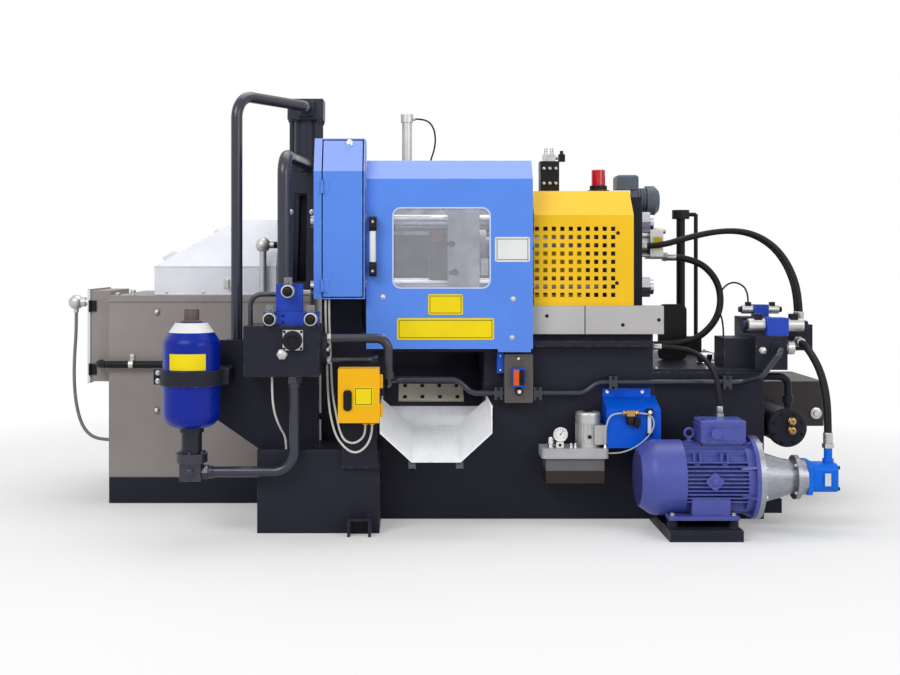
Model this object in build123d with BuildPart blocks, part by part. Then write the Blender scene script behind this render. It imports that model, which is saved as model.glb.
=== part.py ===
"""Hot chamber die casting machine, built as separate named pieces in millimetres.

X runs along the machine from the furnace to the pump, Y from the operator to the far side, Z up.
The origin lies on the floor under the machine base, on the middle plane of the clamp unit.
"""
import math
import os

from build123d import *

os.makedirs("parts", exist_ok=True)

# Clearances shared by several pieces
RUN = 0.4
GAP = 5
SHEET = 4

# Machine base, the pocket that castings fall through and the rail of the sliding door
BASE_LEFT = -480
BASE_LENGTH = 1270
BASE_WIDTH = 940
BASE_HEIGHT = 709
BASE_RIGHT = BASE_LEFT + BASE_LENGTH
BASE_FRONT = -BASE_WIDTH / 2
BASE_BACK = BASE_WIDTH / 2
DROP_LEFT = -240
DROP_WIDTH = 385
DROP_RIGHT = DROP_LEFT + DROP_WIDTH
DROP_SILL = 352
DROP_REACH = 770
DROP_RISE = 250
HEAD_BEAM = 69
HEAD_DEPTH = 40
RAIL_DEPTH = 58
RAIL_HEIGHT = 20
RAIL_DROP = 25
RAIL_LEFT = DROP_LEFT + 50
RAIL_RIGHT = BASE_RIGHT - 10
RAIL_TOP = BASE_HEIGHT - RAIL_DROP

# Clamp unit
CLAMP_RISE = 303
CLAMP_Z = BASE_HEIGHT + CLAMP_RISE
BAR_R = 30
BAR_Y = 200
BAR_DZ = 131
BAR_END = 60
NUT_R = 46
NUT_LENGTH = 45
PLATEN_WIDTH = 760
FIXED_LEFT = BASE_LEFT
FIXED_THICK = 140
FIXED_RIGHT = FIXED_LEFT + FIXED_THICK
FIXED_HEIGHT = 611
DAYLIGHT = 351
MOVING_LEFT = FIXED_RIGHT + DAYLIGHT
MOVING_THICK = 126
MOVING_RIGHT = MOVING_LEFT + MOVING_THICK
MOVING_WIDTH = 560
MOVING_HEIGHT = 504
DIE_WIDTH = 260
DIE_HEIGHT = 244
FIXED_DIE = 110
MOVING_DIE = 71
TOGGLE_SPACE = 503
REAR_LEFT = MOVING_RIGHT + TOGGLE_SPACE
REAR_THICK = 140
REAR_RIGHT = REAR_LEFT + REAR_THICK
REAR_WIDTH = 600
RAM_R = 28
RAM_RISE = 46
RAM_Z = CLAMP_Z + RAM_RISE
BARREL_R = 44
BARREL_LENGTH = 76
CAP_LENGTH = 54
CAP_SIZE = 130
CAP_ROUND = 14
CAP_FACE = REAR_RIGHT + BARREL_LENGTH + CAP_LENGTH

# Sliding door
DOOR_LEFT = -304
DOOR_WIDTH = 626
DOOR_RIGHT = DOOR_LEFT + DOOR_WIDTH
DOOR_PROUD = 90
DOOR_FRONT = BASE_FRONT - DOOR_PROUD
DOOR_EDGE = 25
DOOR_DROP = 52
DOOR_BOTTOM = BASE_HEIGHT - DOOR_DROP
DOOR_HEIGHT = 640
DOOR_BEND = DOOR_BOTTOM + DOOR_HEIGHT
DOOR_RISE = 72
DOOR_LEAN = 60
WINDOW_WIDTH = 365
WINDOW_HEIGHT = 301
WINDOW_R = 30
WINDOW_X = DOOR_LEFT + 282.5
WINDOW_Z = DOOR_BOTTOM + 379.5
PANE_LAP = 15
PANE_THICK = 6
HANDLE_X = DOOR_LEFT + 25
HANDLE_Z = DOOR_BOTTOM + 385
HANDLE_LENGTH = 223
HANDLE_REACH = 50
WHEEL_R = 14
TAB_WIDTH = 124
TAB_DROP = 12

# Housing in front of the fixed platen, with its hinged door
HOUSING_RIGHT = DOOR_LEFT - GAP
HOUSING_WIDTH = 190
HOUSING_LEFT = HOUSING_RIGHT - HOUSING_WIDTH
HOUSING_PROUD = 40
HOUSING_FRONT = DOOR_FRONT - HOUSING_PROUD
HOUSING_BACK = -PLATEN_WIDTH / 2
HOUSING_LIFT = 137
HOUSING_BOTTOM = BASE_HEIGHT + HOUSING_LIFT
HOUSING_WALL = 477
HOUSING_RISE = 127
HOUSING_LEAN = 60
HOUSING_BEND = HOUSING_BOTTOM + HOUSING_WALL
HOUSING_TOP = HOUSING_BEND + HOUSING_RISE
STRIP = 29
HINGE_R = 6
PIN_R = 3
LEAF_LENGTH = 24
LEAF_THICK = 3
KNUCKLE = 16

# Perforated guard over the rear platen and the sill below it
SILL_HEIGHT = 107
SILL_DEPTH = 60
SILL_FRONT = BASE_FRONT - 30
SILL_LEFT = DOOR_RIGHT + 3
SILL_SPLIT = SILL_LEFT + 199
SILL_LENGTH = 501
SILL_SEAM = 4
GUARD_LEFT = DOOR_RIGHT + 11
GUARD_LENGTH = 380
GUARD_RIGHT = GUARD_LEFT + GUARD_LENGTH
GUARD_FRONT = BASE_FRONT - 20
GUARD_BOTTOM = BASE_HEIGHT + SILL_HEIGHT
GUARD_WALL = 347
GUARD_RISE = 96
GUARD_LEAN = 100
GUARD_BEND = GUARD_BOTTOM + GUARD_WALL
GUARD_TOP = GUARD_BEND + GUARD_RISE
HOLE = 16.4
HOLE_PITCH_X = 32.3
HOLE_PITCH_Z = 31.5
HOLE_COLUMNS = 10
HOLE_ROWS = 9
REAR_HEADROOM = 15
REAR_TOP = GUARD_TOP - SHEET - REAR_HEADROOM
REAR_GUARD_GAP = 60

# Injection unit
INJ_REACH = 94
INJ_X = FIXED_LEFT - INJ_REACH
FRAME_DROP = 146
FRAME_BOTTOM = CLAMP_Z - FRAME_DROP
FRAME_HEIGHT = 480
FRAME_TOP = FRAME_BOTTOM + FRAME_HEIGHT
FRAME_WIDTH = 240
FRAME_FOOT = 180
FRAME_HEAD = 156
FRAME_PLATE = 24
CYL_R = 50
CYL_LENGTH = 226
CYL_HEAD = 85
CYL_SIZE = 148
CYL_ROD_R = 8
CYL_ROD = 58
LOW_HEAD = 66
TUBE_FLANGE = 18
TUBE_FLANGE_SIZE = 64

# Front pillar, injection plate and manifold
PILLAR_LEFT = -695
PILLAR_RIGHT = -251
PILLAR_DEPTH = 255
PILLAR_FRONT = BASE_FRONT - PILLAR_DEPTH
PILLAR_TOP = 302
PLATE_FRONT = PILLAR_FRONT + 125
PLATE_THICK = 20
PLATE_BACK = PLATE_FRONT + PLATE_THICK
PLATE_LEFT = -867
PLATE_HEIGHT = 391
PLATE_TOP = PILLAR_TOP + PLATE_HEIGHT
MAN_LEFT = -736
MAN_WIDTH = 273
MAN_RIGHT = MAN_LEFT + MAN_WIDTH
MAN_PROUD = 75
MAN_FRONT = PILLAR_FRONT - MAN_PROUD
MAN_LIFT = 272
MAN_BOTTOM = PILLAR_TOP + MAN_LIFT
MAN_HEIGHT = 183
MAN_TOP = MAN_BOTTOM + MAN_HEIGHT
SIDE_FLANGE_R = 58
SIDE_FLANGE = 23
SIDE_RISE = 95
SIDE_SETBACK = 80
FRONT_PORT_R = 34
FRONT_PORT = 25
FRONT_PORT_X = 178
FRONT_PORT_DROP = 51
THICK_R = 17
THICK_RISE = 38
LOWER_R = 10
LOWER_DROP = 40
ELBOW_R = 9
ELBOW_X = 18
TALL_R = 21.5
TALL_X = -795
TALL_Y = PLATE_BACK + 50
TALL_FOOT = PLATE_TOP - 43
SHORT_R = 24
SHORT_X = MAN_LEFT + 130
SHORT_Y = PLATE_FRONT - 40

# Accumulator
ACC_X = -924
ACC_Y = PILLAR_FRONT - 50
ACC_R = 103
ACC_NECK_R = 37
ACC_COLLAR_R = 44
ACC_COLLAR = 18
ACC_SHOULDER = 68
ACC_CROWN_R = 56
ACC_CAP_R = 26
ACC_FOOT = 300
ACC_NECK = 93
ACC_BODY = 375
ACC_CAP = 48
BAND_Z = 573
BAND_HEIGHT = 54
BAND_THICK = 9
FEED_R = 19
FEED_Z = 232
FEED_X = MAN_LEFT + 181

# Furnace
FURN_RIGHT = FIXED_LEFT - BAR_END - GAP
FURN_LENGTH = 827
FURN_LEFT = FURN_RIGHT - FURN_LENGTH
FURN_FRONT = -160
FURN_DEPTH = 780
FURN_FOOT = 105
FURN_TOP = FRAME_BOTTOM - 22
LIP = 24
HOOD_LENGTH = 500
HOOD_DEPTH = 670
HOOD_RIGHT = INJ_X - 116
HOOD_FRONT = FURN_FRONT + 50
HOOD_WALL = 119
HOOD_RISE = 195
HOOD_TOP_LENGTH = 180
HOOD_TOP_DEPTH = 330
PANEL_BOX_DEPTH = 83
PANEL_BOX_WIDTH = 350
PANEL_BOX_HEIGHT = 373
PANEL_BOX_Z = 490
PANEL_DOOR = 11

# Hydraulic tank and what stands on it
TANK_LENGTH = 425
TANK_RIGHT = BASE_RIGHT + TANK_LENGTH
TANK_HEIGHT = 574
TANK_WALL = 8
LID_THICK = 14
BLOCK_LEFT = TANK_RIGHT - 45
BLOCK_RIGHT = TANK_RIGHT + 77
BLOCK_FRONT = BASE_FRONT - 50
BLOCK_DEPTH = 320
BLOCK_BACK = BLOCK_FRONT + BLOCK_DEPTH
BLOCK_HEIGHT = 129
BLOCK_TOP = TANK_HEIGHT + BLOCK_HEIGHT
BOSS_WIDTH = 100
BOSS_SETBACK = 80
BOSS_DEPTH = 160
BOSS_HEIGHT = 116
INLET_R = 26
INLET = 10
INLET_X = 40
INLET_Z = 81
STEP_DEPTH = 120
STEP_HEIGHT = 62
PORT_LENGTH = 128
PORT_FRONT = BLOCK_FRONT + 110
PORT_DEPTH = 120
PORT_BOTTOM = TANK_HEIGHT + 66
PORT_TOP = TANK_HEIGHT + 166
VALVE_WIDTH = 80
VALVE_HEIGHT = 68
VALVE_DEPTH = 80
VALVE_X = 35
SMALL_VALVE = 0.7
COIL_R = 23
COIL_LENGTH = 66
COIL_CAP = 16

# Oil cooler and return box on the tank's end
COOLER_X = TANK_RIGHT + 92
COOLER_Z = 348
COOLER_R = 68
COOLER_CAP_R = 75
COOLER_CAP = 30
COOLER_LENGTH = 350
COOLER_PIPE_R = 14
COOLER_PIPE_Z = 540
RETURN_LENGTH = 350
RETURN_FRONT = BASE_FRONT + 370
RETURN_DEPTH = 450
RETURN_BOTTOM = 306
RETURN_HEIGHT = 184

# Pump motor set
MOTOR_BASE_HEIGHT = 40
MOUNT_HEIGHT = 28
FOOT_Z = MOTOR_BASE_HEIGHT + MOUNT_HEIGHT
SHAFT_HEIGHT = 132
AXIS_Y = BASE_FRONT - 230
AXIS_Z = FOOT_Z + SHAFT_HEIGHT
MOTOR_RIGHT = TANK_RIGHT - 111
MOTOR_LENGTH = 259
MOTOR_LEFT = MOTOR_RIGHT - MOTOR_LENGTH
MOTOR_R = 112
FIN_R = 130
FIN_STEPS = 5
FIN_PITCH = 14
FIN_THICK = 5
COWL_R = 136
COWL_LENGTH = 155
COWL_LEFT = MOTOR_LEFT - COWL_LENGTH
COWL_NOSE = 46
COWL_FACE_R = 104
FLANGE_R = 150
FLANGE_THICK = 14
FOOT_SPREAD = 108
FOOT_LENGTH = 250
FOOT_THICK = 14
FOOT_LEFT = MOTOR_LEFT - 65
TERMINAL_LENGTH = 164
TERMINAL_WIDTH = 124
TERMINAL_HEIGHT = 83
TERMINAL_LEFT = MOTOR_LEFT + 62
TERMINAL_Z = AXIS_Z + FIN_R + 1
BELL_LENGTH = 193
BELL_FLANGE = 18
BELL_NOSE = 40
BELL_WIDE_R = 98
BELL_NECK_R = 58
BELL_RIGHT = MOTOR_RIGHT + BELL_LENGTH
PUMP_LENGTH = 110
PUMP_SIZE = 100
PUMP_RIGHT = BELL_RIGHT + PUMP_LENGTH

# Chute
CHUTE_LENGTH = 330
CHUTE_WIDTH = 402
CHUTE_FLOOR = 175
CHUTE_SIDE = 104
CHUTE_FALL = 83
CHUTE_TOP = 468
CHUTE_LEFT = DROP_LEFT - 8
CHUTE_FRONT = BASE_FRONT - CHUTE_LENGTH

# Boxes on the front
BOX_WIDTH = 146
BOX_HEIGHT = 191
BOX_DEPTH = 80
BOX_WALL = 4
BOX_DOOR = 10
BOX_RIGHT = PILLAR_RIGHT + 2
BOX_LEFT = BOX_RIGHT - BOX_WIDTH
BOX_BOTTOM = PILLAR_TOP + 113
BOX_TOP = BOX_BOTTOM + BOX_HEIGHT
BOX_PLATE = 20
BOX_BACK = PILLAR_FRONT - BOX_PLATE
BOX_RIM = BOX_BACK - BOX_DEPTH
SWITCH_LEFT = DROP_RIGHT + 72
SWITCH_WIDTH = 107
SWITCH_DEPTH = 70
SWITCH_BOTTOM = 452
SWITCH_HEIGHT = 184
PIPE_R = 11
CLAMP_WIDTH = 31
CLAMP_HALF = 24
PIPE_Y = BASE_FRONT - 30
PIPE_LOW = SWITCH_BOTTOM + 33
TRAY_LEFT = DROP_RIGHT + 207
TRAY_LENGTH = 250
TRAY_DEPTH = 130
TRAY_HEIGHT = 37
TRAY_Z = 250
CUP_HEIGHT = 93
CUP_INSET = 16
LUBE_MOTOR_R = 47
LUBE_MOTOR_HEIGHT = 133
SPRAY_LEFT = DROP_RIGHT + 451
SPRAY_WIDTH = 201
SPRAY_DEPTH = 120
SPRAY_BOTTOM = 289
SPRAY_HEIGHT = 183
SPRAY_SLOPE = 40


def block(x0, x1, y0, y1, z0, z1, mode=Mode.ADD):
    """Adds or cuts a box given by its limits."""
    with Locations(((x0 + x1) / 2, (y0 + y1) / 2, (z0 + z1) / 2)):
        Box(x1 - x0, y1 - y0, z1 - z0, mode=mode)


def rod_x(y, z, radius, x0, x1, mode=Mode.ADD):
    """Adds or cuts a round bar along X."""
    with Locations(Location(((x0 + x1) / 2, y, z), (0, 90, 0))):
        Cylinder(radius, x1 - x0, mode=mode)


def rod_y(x, z, radius, y0, y1, mode=Mode.ADD):
    """Adds or cuts a round bar along Y."""
    with Locations(Location((x, (y0 + y1) / 2, z), (90, 0, 0))):
        Cylinder(radius, y1 - y0, mode=mode)


def rod_z(x, y, radius, z0, z1, mode=Mode.ADD):
    """Adds or cuts a round bar along Z."""
    with Locations((x, y, (z0 + z1) / 2)):
        Cylinder(radius, z1 - z0, mode=mode)


def prism_x(points, x0, x1, mode=Mode.ADD):
    """Extrudes a closed outline of (Y, Z) points along X."""
    with BuildSketch(Plane.YZ.offset(x0)) as outline:
        with BuildLine():
            Polyline(*points, close=True)
        make_face()
    extrude(outline.sketch, amount=x1 - x0, mode=mode)


def prism_y(points, y0, y1, mode=Mode.ADD):
    """Extrudes a closed outline of (X, Z) points along Y."""
    with BuildSketch(Plane.XZ.offset(-y1)) as outline:
        with BuildLine():
            Polyline(*points, close=True)
        make_face()
    extrude(outline.sketch, amount=y1 - y0, mode=mode)


def tube(points, radius, bends):
    """Sweeps a round bar along straight runs joined by arcs of the given radii."""
    start = Vector(*points[0])
    with BuildLine() as route:
        FilletPolyline(*points, radius=bends)
    with BuildSketch(Plane(origin=start, z_dir=Vector(*points[1]) - start)) as section:
        Circle(radius)
    sweep(section.sketch, path=route.line)


def hose_bends(points):
    """Gives the largest tangent arcs that the runs of a hose allow."""
    radii = []
    for before, at, after in zip(points, points[1:], points[2:]):
        a = Vector(*at) - Vector(*before)
        b = Vector(*after) - Vector(*at)
        half_turn = math.radians(a.get_angle(b)) / 2
        radii.append(0.45 * min(a.length, b.length) / math.tan(half_turn))
    return radii


def hinge_half(place, fixed):
    """Half of a butt hinge on a plane through its pin: X points at the door, Y into the surface."""
    side = -1 if fixed else 1
    depth = HINGE_R + 1
    height = 3 * KNUCKLE
    with Locations(place.location):
        with Locations((side * (depth + LEAF_LENGTH) / 2, depth - LEAF_THICK / 2, height / 2)):
            Box(LEAF_LENGTH - depth, LEAF_THICK, height)
        for level in (0, 2) if fixed else (1,):
            with Locations((0, 0, (level + 0.5) * KNUCKLE)):
                Cylinder(HINGE_R, KNUCKLE - RUN)
            with Locations((side * depth / 2, depth - LEAF_THICK / 2, (level + 0.5) * KNUCKLE)):
                Box(depth, LEAF_THICK, KNUCKLE - RUN)
        with Locations((0, 0, height / 2)):
            if fixed:
                Cylinder(PIN_R, height)
            else:
                Cylinder(PIN_R + RUN, height, mode=Mode.SUBTRACT)


def leaning(front, bottom, bend, top, lean):
    """Outline in Y and Z of a front that leans back above its bend."""
    return [(front, bottom), (front, bend), (front + lean, top)]


def finish(name, part):
    """Labels a piece and writes it out."""
    part.label = name
    export_step(part, f"parts/{name}.step")


# Machine base: welded box with the drop pocket open at the top and at the front
with BuildPart() as machine_base:
    block(BASE_LEFT, BASE_RIGHT, BASE_FRONT, BASE_BACK, 0, BASE_HEIGHT)
    head = BASE_HEIGHT - HEAD_BEAM
    pocket = [(BASE_FRONT, DROP_SILL), (BASE_FRONT + DROP_REACH, DROP_SILL + DROP_RISE),
              (BASE_FRONT + DROP_REACH, BASE_HEIGHT), (BASE_FRONT + HEAD_DEPTH, BASE_HEIGHT),
              (BASE_FRONT + HEAD_DEPTH, head), (BASE_FRONT, head)]
    prism_x(pocket, DROP_LEFT, DROP_RIGHT, Mode.SUBTRACT)
    block(RAIL_LEFT, RAIL_RIGHT, BASE_FRONT - RAIL_DEPTH, BASE_FRONT, RAIL_TOP - RAIL_HEIGHT, RAIL_TOP)
    block(BASE_LEFT, HOUSING_RIGHT - 18, HOUSING_BACK - 60, HOUSING_BACK, BASE_HEIGHT, HOUSING_BOTTOM)
finish("machine_base", machine_base.part)

# Front pillar with the injection plate on it, the anchor bracket, the plate for the junction box
# and the band that holds the accumulator
with BuildPart() as front_pillar:
    block(PILLAR_LEFT, PILLAR_RIGHT, PILLAR_FRONT, BASE_FRONT, 0, PILLAR_TOP)
    plate = [(PLATE_LEFT, PLATE_TOP), (BASE_LEFT, PLATE_TOP), (BASE_LEFT, PILLAR_TOP),
             (PILLAR_LEFT, PILLAR_TOP - 20), (PLATE_LEFT, PILLAR_TOP + 100)]
    prism_y(plate, PLATE_FRONT, PLATE_BACK)
    for x in (PILLAR_LEFT, BASE_LEFT - 40):
        block(x, x + PLATE_THICK, PLATE_BACK, BASE_FRONT, PILLAR_TOP, PLATE_TOP - 53)
    block(TALL_X - 45, TALL_X + 45, PLATE_BACK, PLATE_BACK + 100, TALL_FOOT - 90, TALL_FOOT)
    block(PILLAR_RIGHT - 114, PILLAR_RIGHT - 29, PILLAR_FRONT - 65, PILLAR_FRONT, 0, 65)
    block(PILLAR_RIGHT - 104, PILLAR_RIGHT - 39, PILLAR_FRONT - 65, PILLAR_FRONT - 8, 0, 57, Mode.SUBTRACT)
    block(BOX_LEFT + 10, BOX_RIGHT - 10, BOX_BACK, PILLAR_FRONT, PILLAR_TOP - 62, BOX_TOP)
    band_low = BAND_Z - BAND_HEIGHT / 2
    band_high = BAND_Z + BAND_HEIGHT / 2
    rod_z(ACC_X, ACC_Y, ACC_R + BAND_THICK, band_low, band_high)
    block(ACC_X + 30, PLATE_LEFT + 74, ACC_Y, PLATE_FRONT, band_low, band_high)
    block(ACC_X - ACC_R - 32, ACC_X - ACC_R, ACC_Y - 10, ACC_Y + 10, band_low, band_high)
    rod_z(ACC_X, ACC_Y, ACC_R + RUN, band_low - 1, band_high + 1, Mode.SUBTRACT)
finish("front_pillar", front_pillar.part)

# Hydraulic tank and its lid
with BuildPart() as hydraulic_tank:
    block(BASE_RIGHT, TANK_RIGHT, BASE_FRONT, BASE_BACK, 0, TANK_HEIGHT - LID_THICK)
    block(BASE_RIGHT + TANK_WALL, TANK_RIGHT - TANK_WALL, BASE_FRONT + TANK_WALL,
          BASE_BACK - TANK_WALL, TANK_WALL, TANK_HEIGHT, Mode.SUBTRACT)
finish("hydraulic_tank", hydraulic_tank.part)

with BuildPart() as tank_lid:
    block(BASE_RIGHT, TANK_RIGHT, BASE_FRONT, BASE_BACK, TANK_HEIGHT - LID_THICK, TANK_HEIGHT)
finish("tank_lid", tank_lid.part)

# Valve block on the lid, stepped up at the rear and reaching past the tank's end
with BuildPart() as valve_block:
    block(BLOCK_LEFT, BLOCK_RIGHT, BLOCK_FRONT, BLOCK_BACK, TANK_HEIGHT, BLOCK_TOP)
    chamfer(valve_block.edges().filter_by(Axis.Z), 3)
    block(BLOCK_LEFT, BLOCK_RIGHT, BLOCK_BACK - STEP_DEPTH, BLOCK_BACK, BLOCK_TOP, BLOCK_TOP + STEP_HEIGHT)
    boss_front = BLOCK_FRONT + BOSS_SETBACK
    block(BLOCK_LEFT - BOSS_WIDTH, BLOCK_LEFT, boss_front, boss_front + BOSS_DEPTH, TANK_HEIGHT,
          TANK_HEIGHT + BOSS_HEIGHT)
    block(BLOCK_RIGHT, BLOCK_RIGHT + PORT_LENGTH, PORT_FRONT, PORT_FRONT + PORT_DEPTH, PORT_BOTTOM, PORT_TOP)
    rod_y(BLOCK_RIGHT - INLET_X, TANK_HEIGHT + INLET_Z, INLET_R, BLOCK_FRONT - INLET, BLOCK_FRONT)
finish("valve_block", valve_block.part)


def directional_valve(x, y, z, scale):
    """Solenoid valve: square body with a round coil, a cap and a plug at each end."""
    width, height, depth = VALVE_WIDTH * scale, VALVE_HEIGHT * scale, VALVE_DEPTH * scale
    axis = z + 40 * scale
    block(x - width / 2, x + width / 2, y - depth / 2, y + depth / 2, z, z + height)
    for side in (-1, 1):
        face = x + side * width / 2
        coil = face + side * COIL_LENGTH * scale
        cap = coil + side * COIL_CAP * scale
        plug = face + side * 28 * scale
        reach = 14 * scale
        rod_x(y, axis, COIL_R * scale, min(face, coil), max(face, coil))
        rod_x(y, axis, (COIL_R - 8) * scale, min(coil, cap), max(coil, cap))
        block(plug - reach, plug + reach, y - reach, y + reach, axis + 10 * scale, z + 82 * scale)


valve_x = BLOCK_RIGHT - VALVE_X
small_y = BLOCK_BACK - STEP_DEPTH / 2
with BuildPart() as directional_valves:
    directional_valve(valve_x, BLOCK_FRONT + 45, BLOCK_TOP, 1)
    directional_valve(valve_x, small_y, BLOCK_TOP + STEP_HEIGHT, SMALL_VALVE)
finish("directional_valves", directional_valves.part)

# Oil cooler on two arms, with its feed pipe from the tank
with BuildPart() as oil_cooler:
    front = BASE_FRONT
    back = BASE_FRONT + COOLER_LENGTH
    rod_y(COOLER_X, COOLER_Z, COOLER_R, front, back)
    rod_y(COOLER_X, COOLER_Z, COOLER_CAP_R, front, front + COOLER_CAP)
    rod_y(COOLER_X, COOLER_Z, COOLER_CAP_R, back - COOLER_CAP, back)
    fillet(oil_cooler.edges().filter_by(GeomType.CIRCLE).group_by(Axis.Y)[0], 10)
    for y in (front + 90, back - 90):
        block(TANK_RIGHT, COOLER_X, y - 20, y + 20, COOLER_Z - 40, COOLER_Z - 10)
    pipe_x = COOLER_X + 16
    pipe_y = front + 55
    elbow = [(TANK_RIGHT, pipe_y, COOLER_PIPE_Z), (pipe_x, pipe_y, COOLER_PIPE_Z), (pipe_x, pipe_y, COOLER_Z)]
    tube(elbow, COOLER_PIPE_R, [36])
    rod_z(pipe_x, pipe_y, COOLER_PIPE_R + 6, COOLER_Z + 90, COOLER_Z + 120)
    for z in (COOLER_Z - 9, COOLER_Z + 26):
        rod_y(COOLER_X + 12, z, 12, front - 16, front)
finish("oil_cooler", oil_cooler.part)

with BuildPart() as return_box:
    block(TANK_RIGHT, TANK_RIGHT + RETURN_LENGTH, RETURN_FRONT, RETURN_FRONT + RETURN_DEPTH, RETURN_BOTTOM,
          RETURN_BOTTOM + RETURN_HEIGHT)
    chamfer(return_box.edges().filter_by(Axis.Z).group_by(Axis.X)[-1], 6)
finish("return_box", return_box.part)

# Pump motor set: base channel with rubber mounts, finned motor, bell housing and gear pump
MOTOR_AXIS = Axis((0, AXIS_Y, AXIS_Z), (1, 0, 0))
MOUNT_X = (FOOT_LEFT + 15, FOOT_LEFT + FOOT_LENGTH - 17)
with BuildPart() as motor_base:
    left = FOOT_LEFT - 6
    right = left + 260
    front = AXIS_Y - 170
    block(left, right, front, BASE_FRONT, 0, MOTOR_BASE_HEIGHT)
    block(left + 10, right - 10, front - 1, BASE_FRONT - 12, 0, MOTOR_BASE_HEIGHT - 8, Mode.SUBTRACT)
    block(left + 10, right - 10, front, front + 8, 0, MOTOR_BASE_HEIGHT - 8)
    for x in MOUNT_X:
        for y in (AXIS_Y - FOOT_SPREAD, AXIS_Y + FOOT_SPREAD):
            rod_z(x, y, 18, MOTOR_BASE_HEIGHT, FOOT_Z)
finish("motor_base", motor_base.part)

with BuildPart() as pump_motor:
    rod_x(AXIS_Y, AXIS_Z, MOTOR_R, MOTOR_LEFT, MOTOR_RIGHT)
    with BuildSketch(Plane.YZ.offset(MOTOR_LEFT)) as fins:
        for step in range(-FIN_STEPS, FIN_STEPS + 1):
            offset = step * FIN_PITCH
            length = 2 * math.sqrt(FIN_R ** 2 - offset ** 2)
            with Locations((AXIS_Y, AXIS_Z + offset)):
                Rectangle(length, FIN_THICK)
            with Locations((AXIS_Y + offset, AXIS_Z)):
                Rectangle(FIN_THICK, length)
    extrude(fins.sketch, amount=MOTOR_LENGTH - 40)
    rod_x(AXIS_Y, AXIS_Z, FLANGE_R, MOTOR_RIGHT - FLANGE_THICK, MOTOR_RIGHT)
    rod_x(AXIS_Y, AXIS_Z, FIN_R, MOTOR_RIGHT - 40, MOTOR_RIGHT - FLANGE_THICK)
    with BuildSketch(Plane.XZ.offset(-AXIS_Y)) as web:
        flange_back = MOTOR_RIGHT - FLANGE_THICK
        with BuildLine():
            Polyline((flange_back, AXIS_Z + FLANGE_R - 4), (flange_back, AXIS_Z + MOTOR_R - 10),
                     (flange_back - 50, AXIS_Z + MOTOR_R - 10), (flange_back - 50, AXIS_Z + FIN_R - 6),
                     close=True)
        make_face()
    webs = extrude(web.sketch, amount=4, both=True, mode=Mode.PRIVATE)
    for turn in range(8):
        add(webs.rotate(MOTOR_AXIS, 45 * turn + 22.5))
    with BuildSketch(Plane.XZ.offset(-AXIS_Y)) as cowl:
        with BuildLine():
            Polyline((COWL_LEFT, AXIS_Z), (COWL_LEFT, AXIS_Z + COWL_FACE_R),
                     (COWL_LEFT + COWL_NOSE, AXIS_Z + COWL_R), (MOTOR_LEFT, AXIS_Z + COWL_R),
                     (MOTOR_LEFT, AXIS_Z), close=True)
        make_face()
        fillet(cowl.vertices().group_by(Axis.X)[1], 60)
        fillet(cowl.vertices().group_by(Axis.X)[0].sort_by(Axis.Y)[-1], 6)
    revolve(cowl.sketch, axis=MOTOR_AXIS)
    with BuildSketch(Plane.YZ.offset(COWL_LEFT)) as grille:
        with Locations((AXIS_Y, AXIS_Z)):
            for ring in (36, 62, 88):
                with PolarLocations(ring, 12):
                    SlotOverall(ring / 3, 9, rotation=90)
    extrude(grille.sketch, amount=12, mode=Mode.SUBTRACT)
    block(TERMINAL_LEFT + 10, TERMINAL_LEFT + TERMINAL_LENGTH - 10, AXIS_Y - 50, AXIS_Y + 50, AXIS_Z + 80,
          TERMINAL_Z)
    for side in (-1, 1):
        y0, y1 = sorted((AXIS_Y + side * 60, AXIS_Y + side * (FOOT_SPREAD + 24)))
        block(FOOT_LEFT, FOOT_LEFT + FOOT_LENGTH, y0, y1, FOOT_Z, FOOT_Z + FOOT_THICK)
        w0, w1 = sorted((AXIS_Y + side * 60, AXIS_Y + side * (FOOT_SPREAD + 8)))
        block(FOOT_LEFT + 84, FOOT_LEFT + FOOT_LENGTH - 30, w0, w1, FOOT_Z, AXIS_Z - 60)
finish("pump_motor", pump_motor.part)

with BuildPart() as terminal_box:
    box_top = TERMINAL_Z + TERMINAL_HEIGHT
    block(TERMINAL_LEFT, TERMINAL_LEFT + TERMINAL_LENGTH, AXIS_Y - TERMINAL_WIDTH / 2,
          AXIS_Y + TERMINAL_WIDTH / 2, TERMINAL_Z, box_top)
    fillet(terminal_box.edges().filter_by(Axis.Z), 8)
    chamfer(terminal_box.faces().sort_by(Axis.Z)[-1].edges(), 5)
    rod_y(TERMINAL_LEFT + 50, TERMINAL_Z + 38, 17, AXIS_Y - TERMINAL_WIDTH / 2 - 26, AXIS_Y)
finish("terminal_box", terminal_box.part)

with BuildPart() as bell_housing:
    nose = BELL_RIGHT - BELL_NOSE
    foot = MOTOR_RIGHT + BELL_FLANGE
    with BuildSketch(Plane.XZ.offset(-AXIS_Y)) as half:
        with BuildLine():
            Polyline((MOTOR_RIGHT, AXIS_Z), (MOTOR_RIGHT, AXIS_Z + FLANGE_R), (foot, AXIS_Z + FLANGE_R),
                     (foot, AXIS_Z + BELL_WIDE_R), (nose, AXIS_Z + BELL_NECK_R), (nose, AXIS_Z + 80),
                     (nose + 16, AXIS_Z + 80), (nose + 16, AXIS_Z + 64), (BELL_RIGHT, AXIS_Z + 64),
                     (BELL_RIGHT, AXIS_Z), close=True)
        make_face()
    revolve(half.sketch, axis=MOTOR_AXIS)
    with BuildSketch(Plane.XY.offset(AXIS_Z + BELL_NECK_R)) as window:
        with Locations(((foot + nose) / 2, AXIS_Y)):
            SlotOverall(nose - foot - 40, 46)
    extrude(window.sketch, amount=FLANGE_R, mode=Mode.SUBTRACT)
finish("bell_housing", bell_housing.part)

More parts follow.
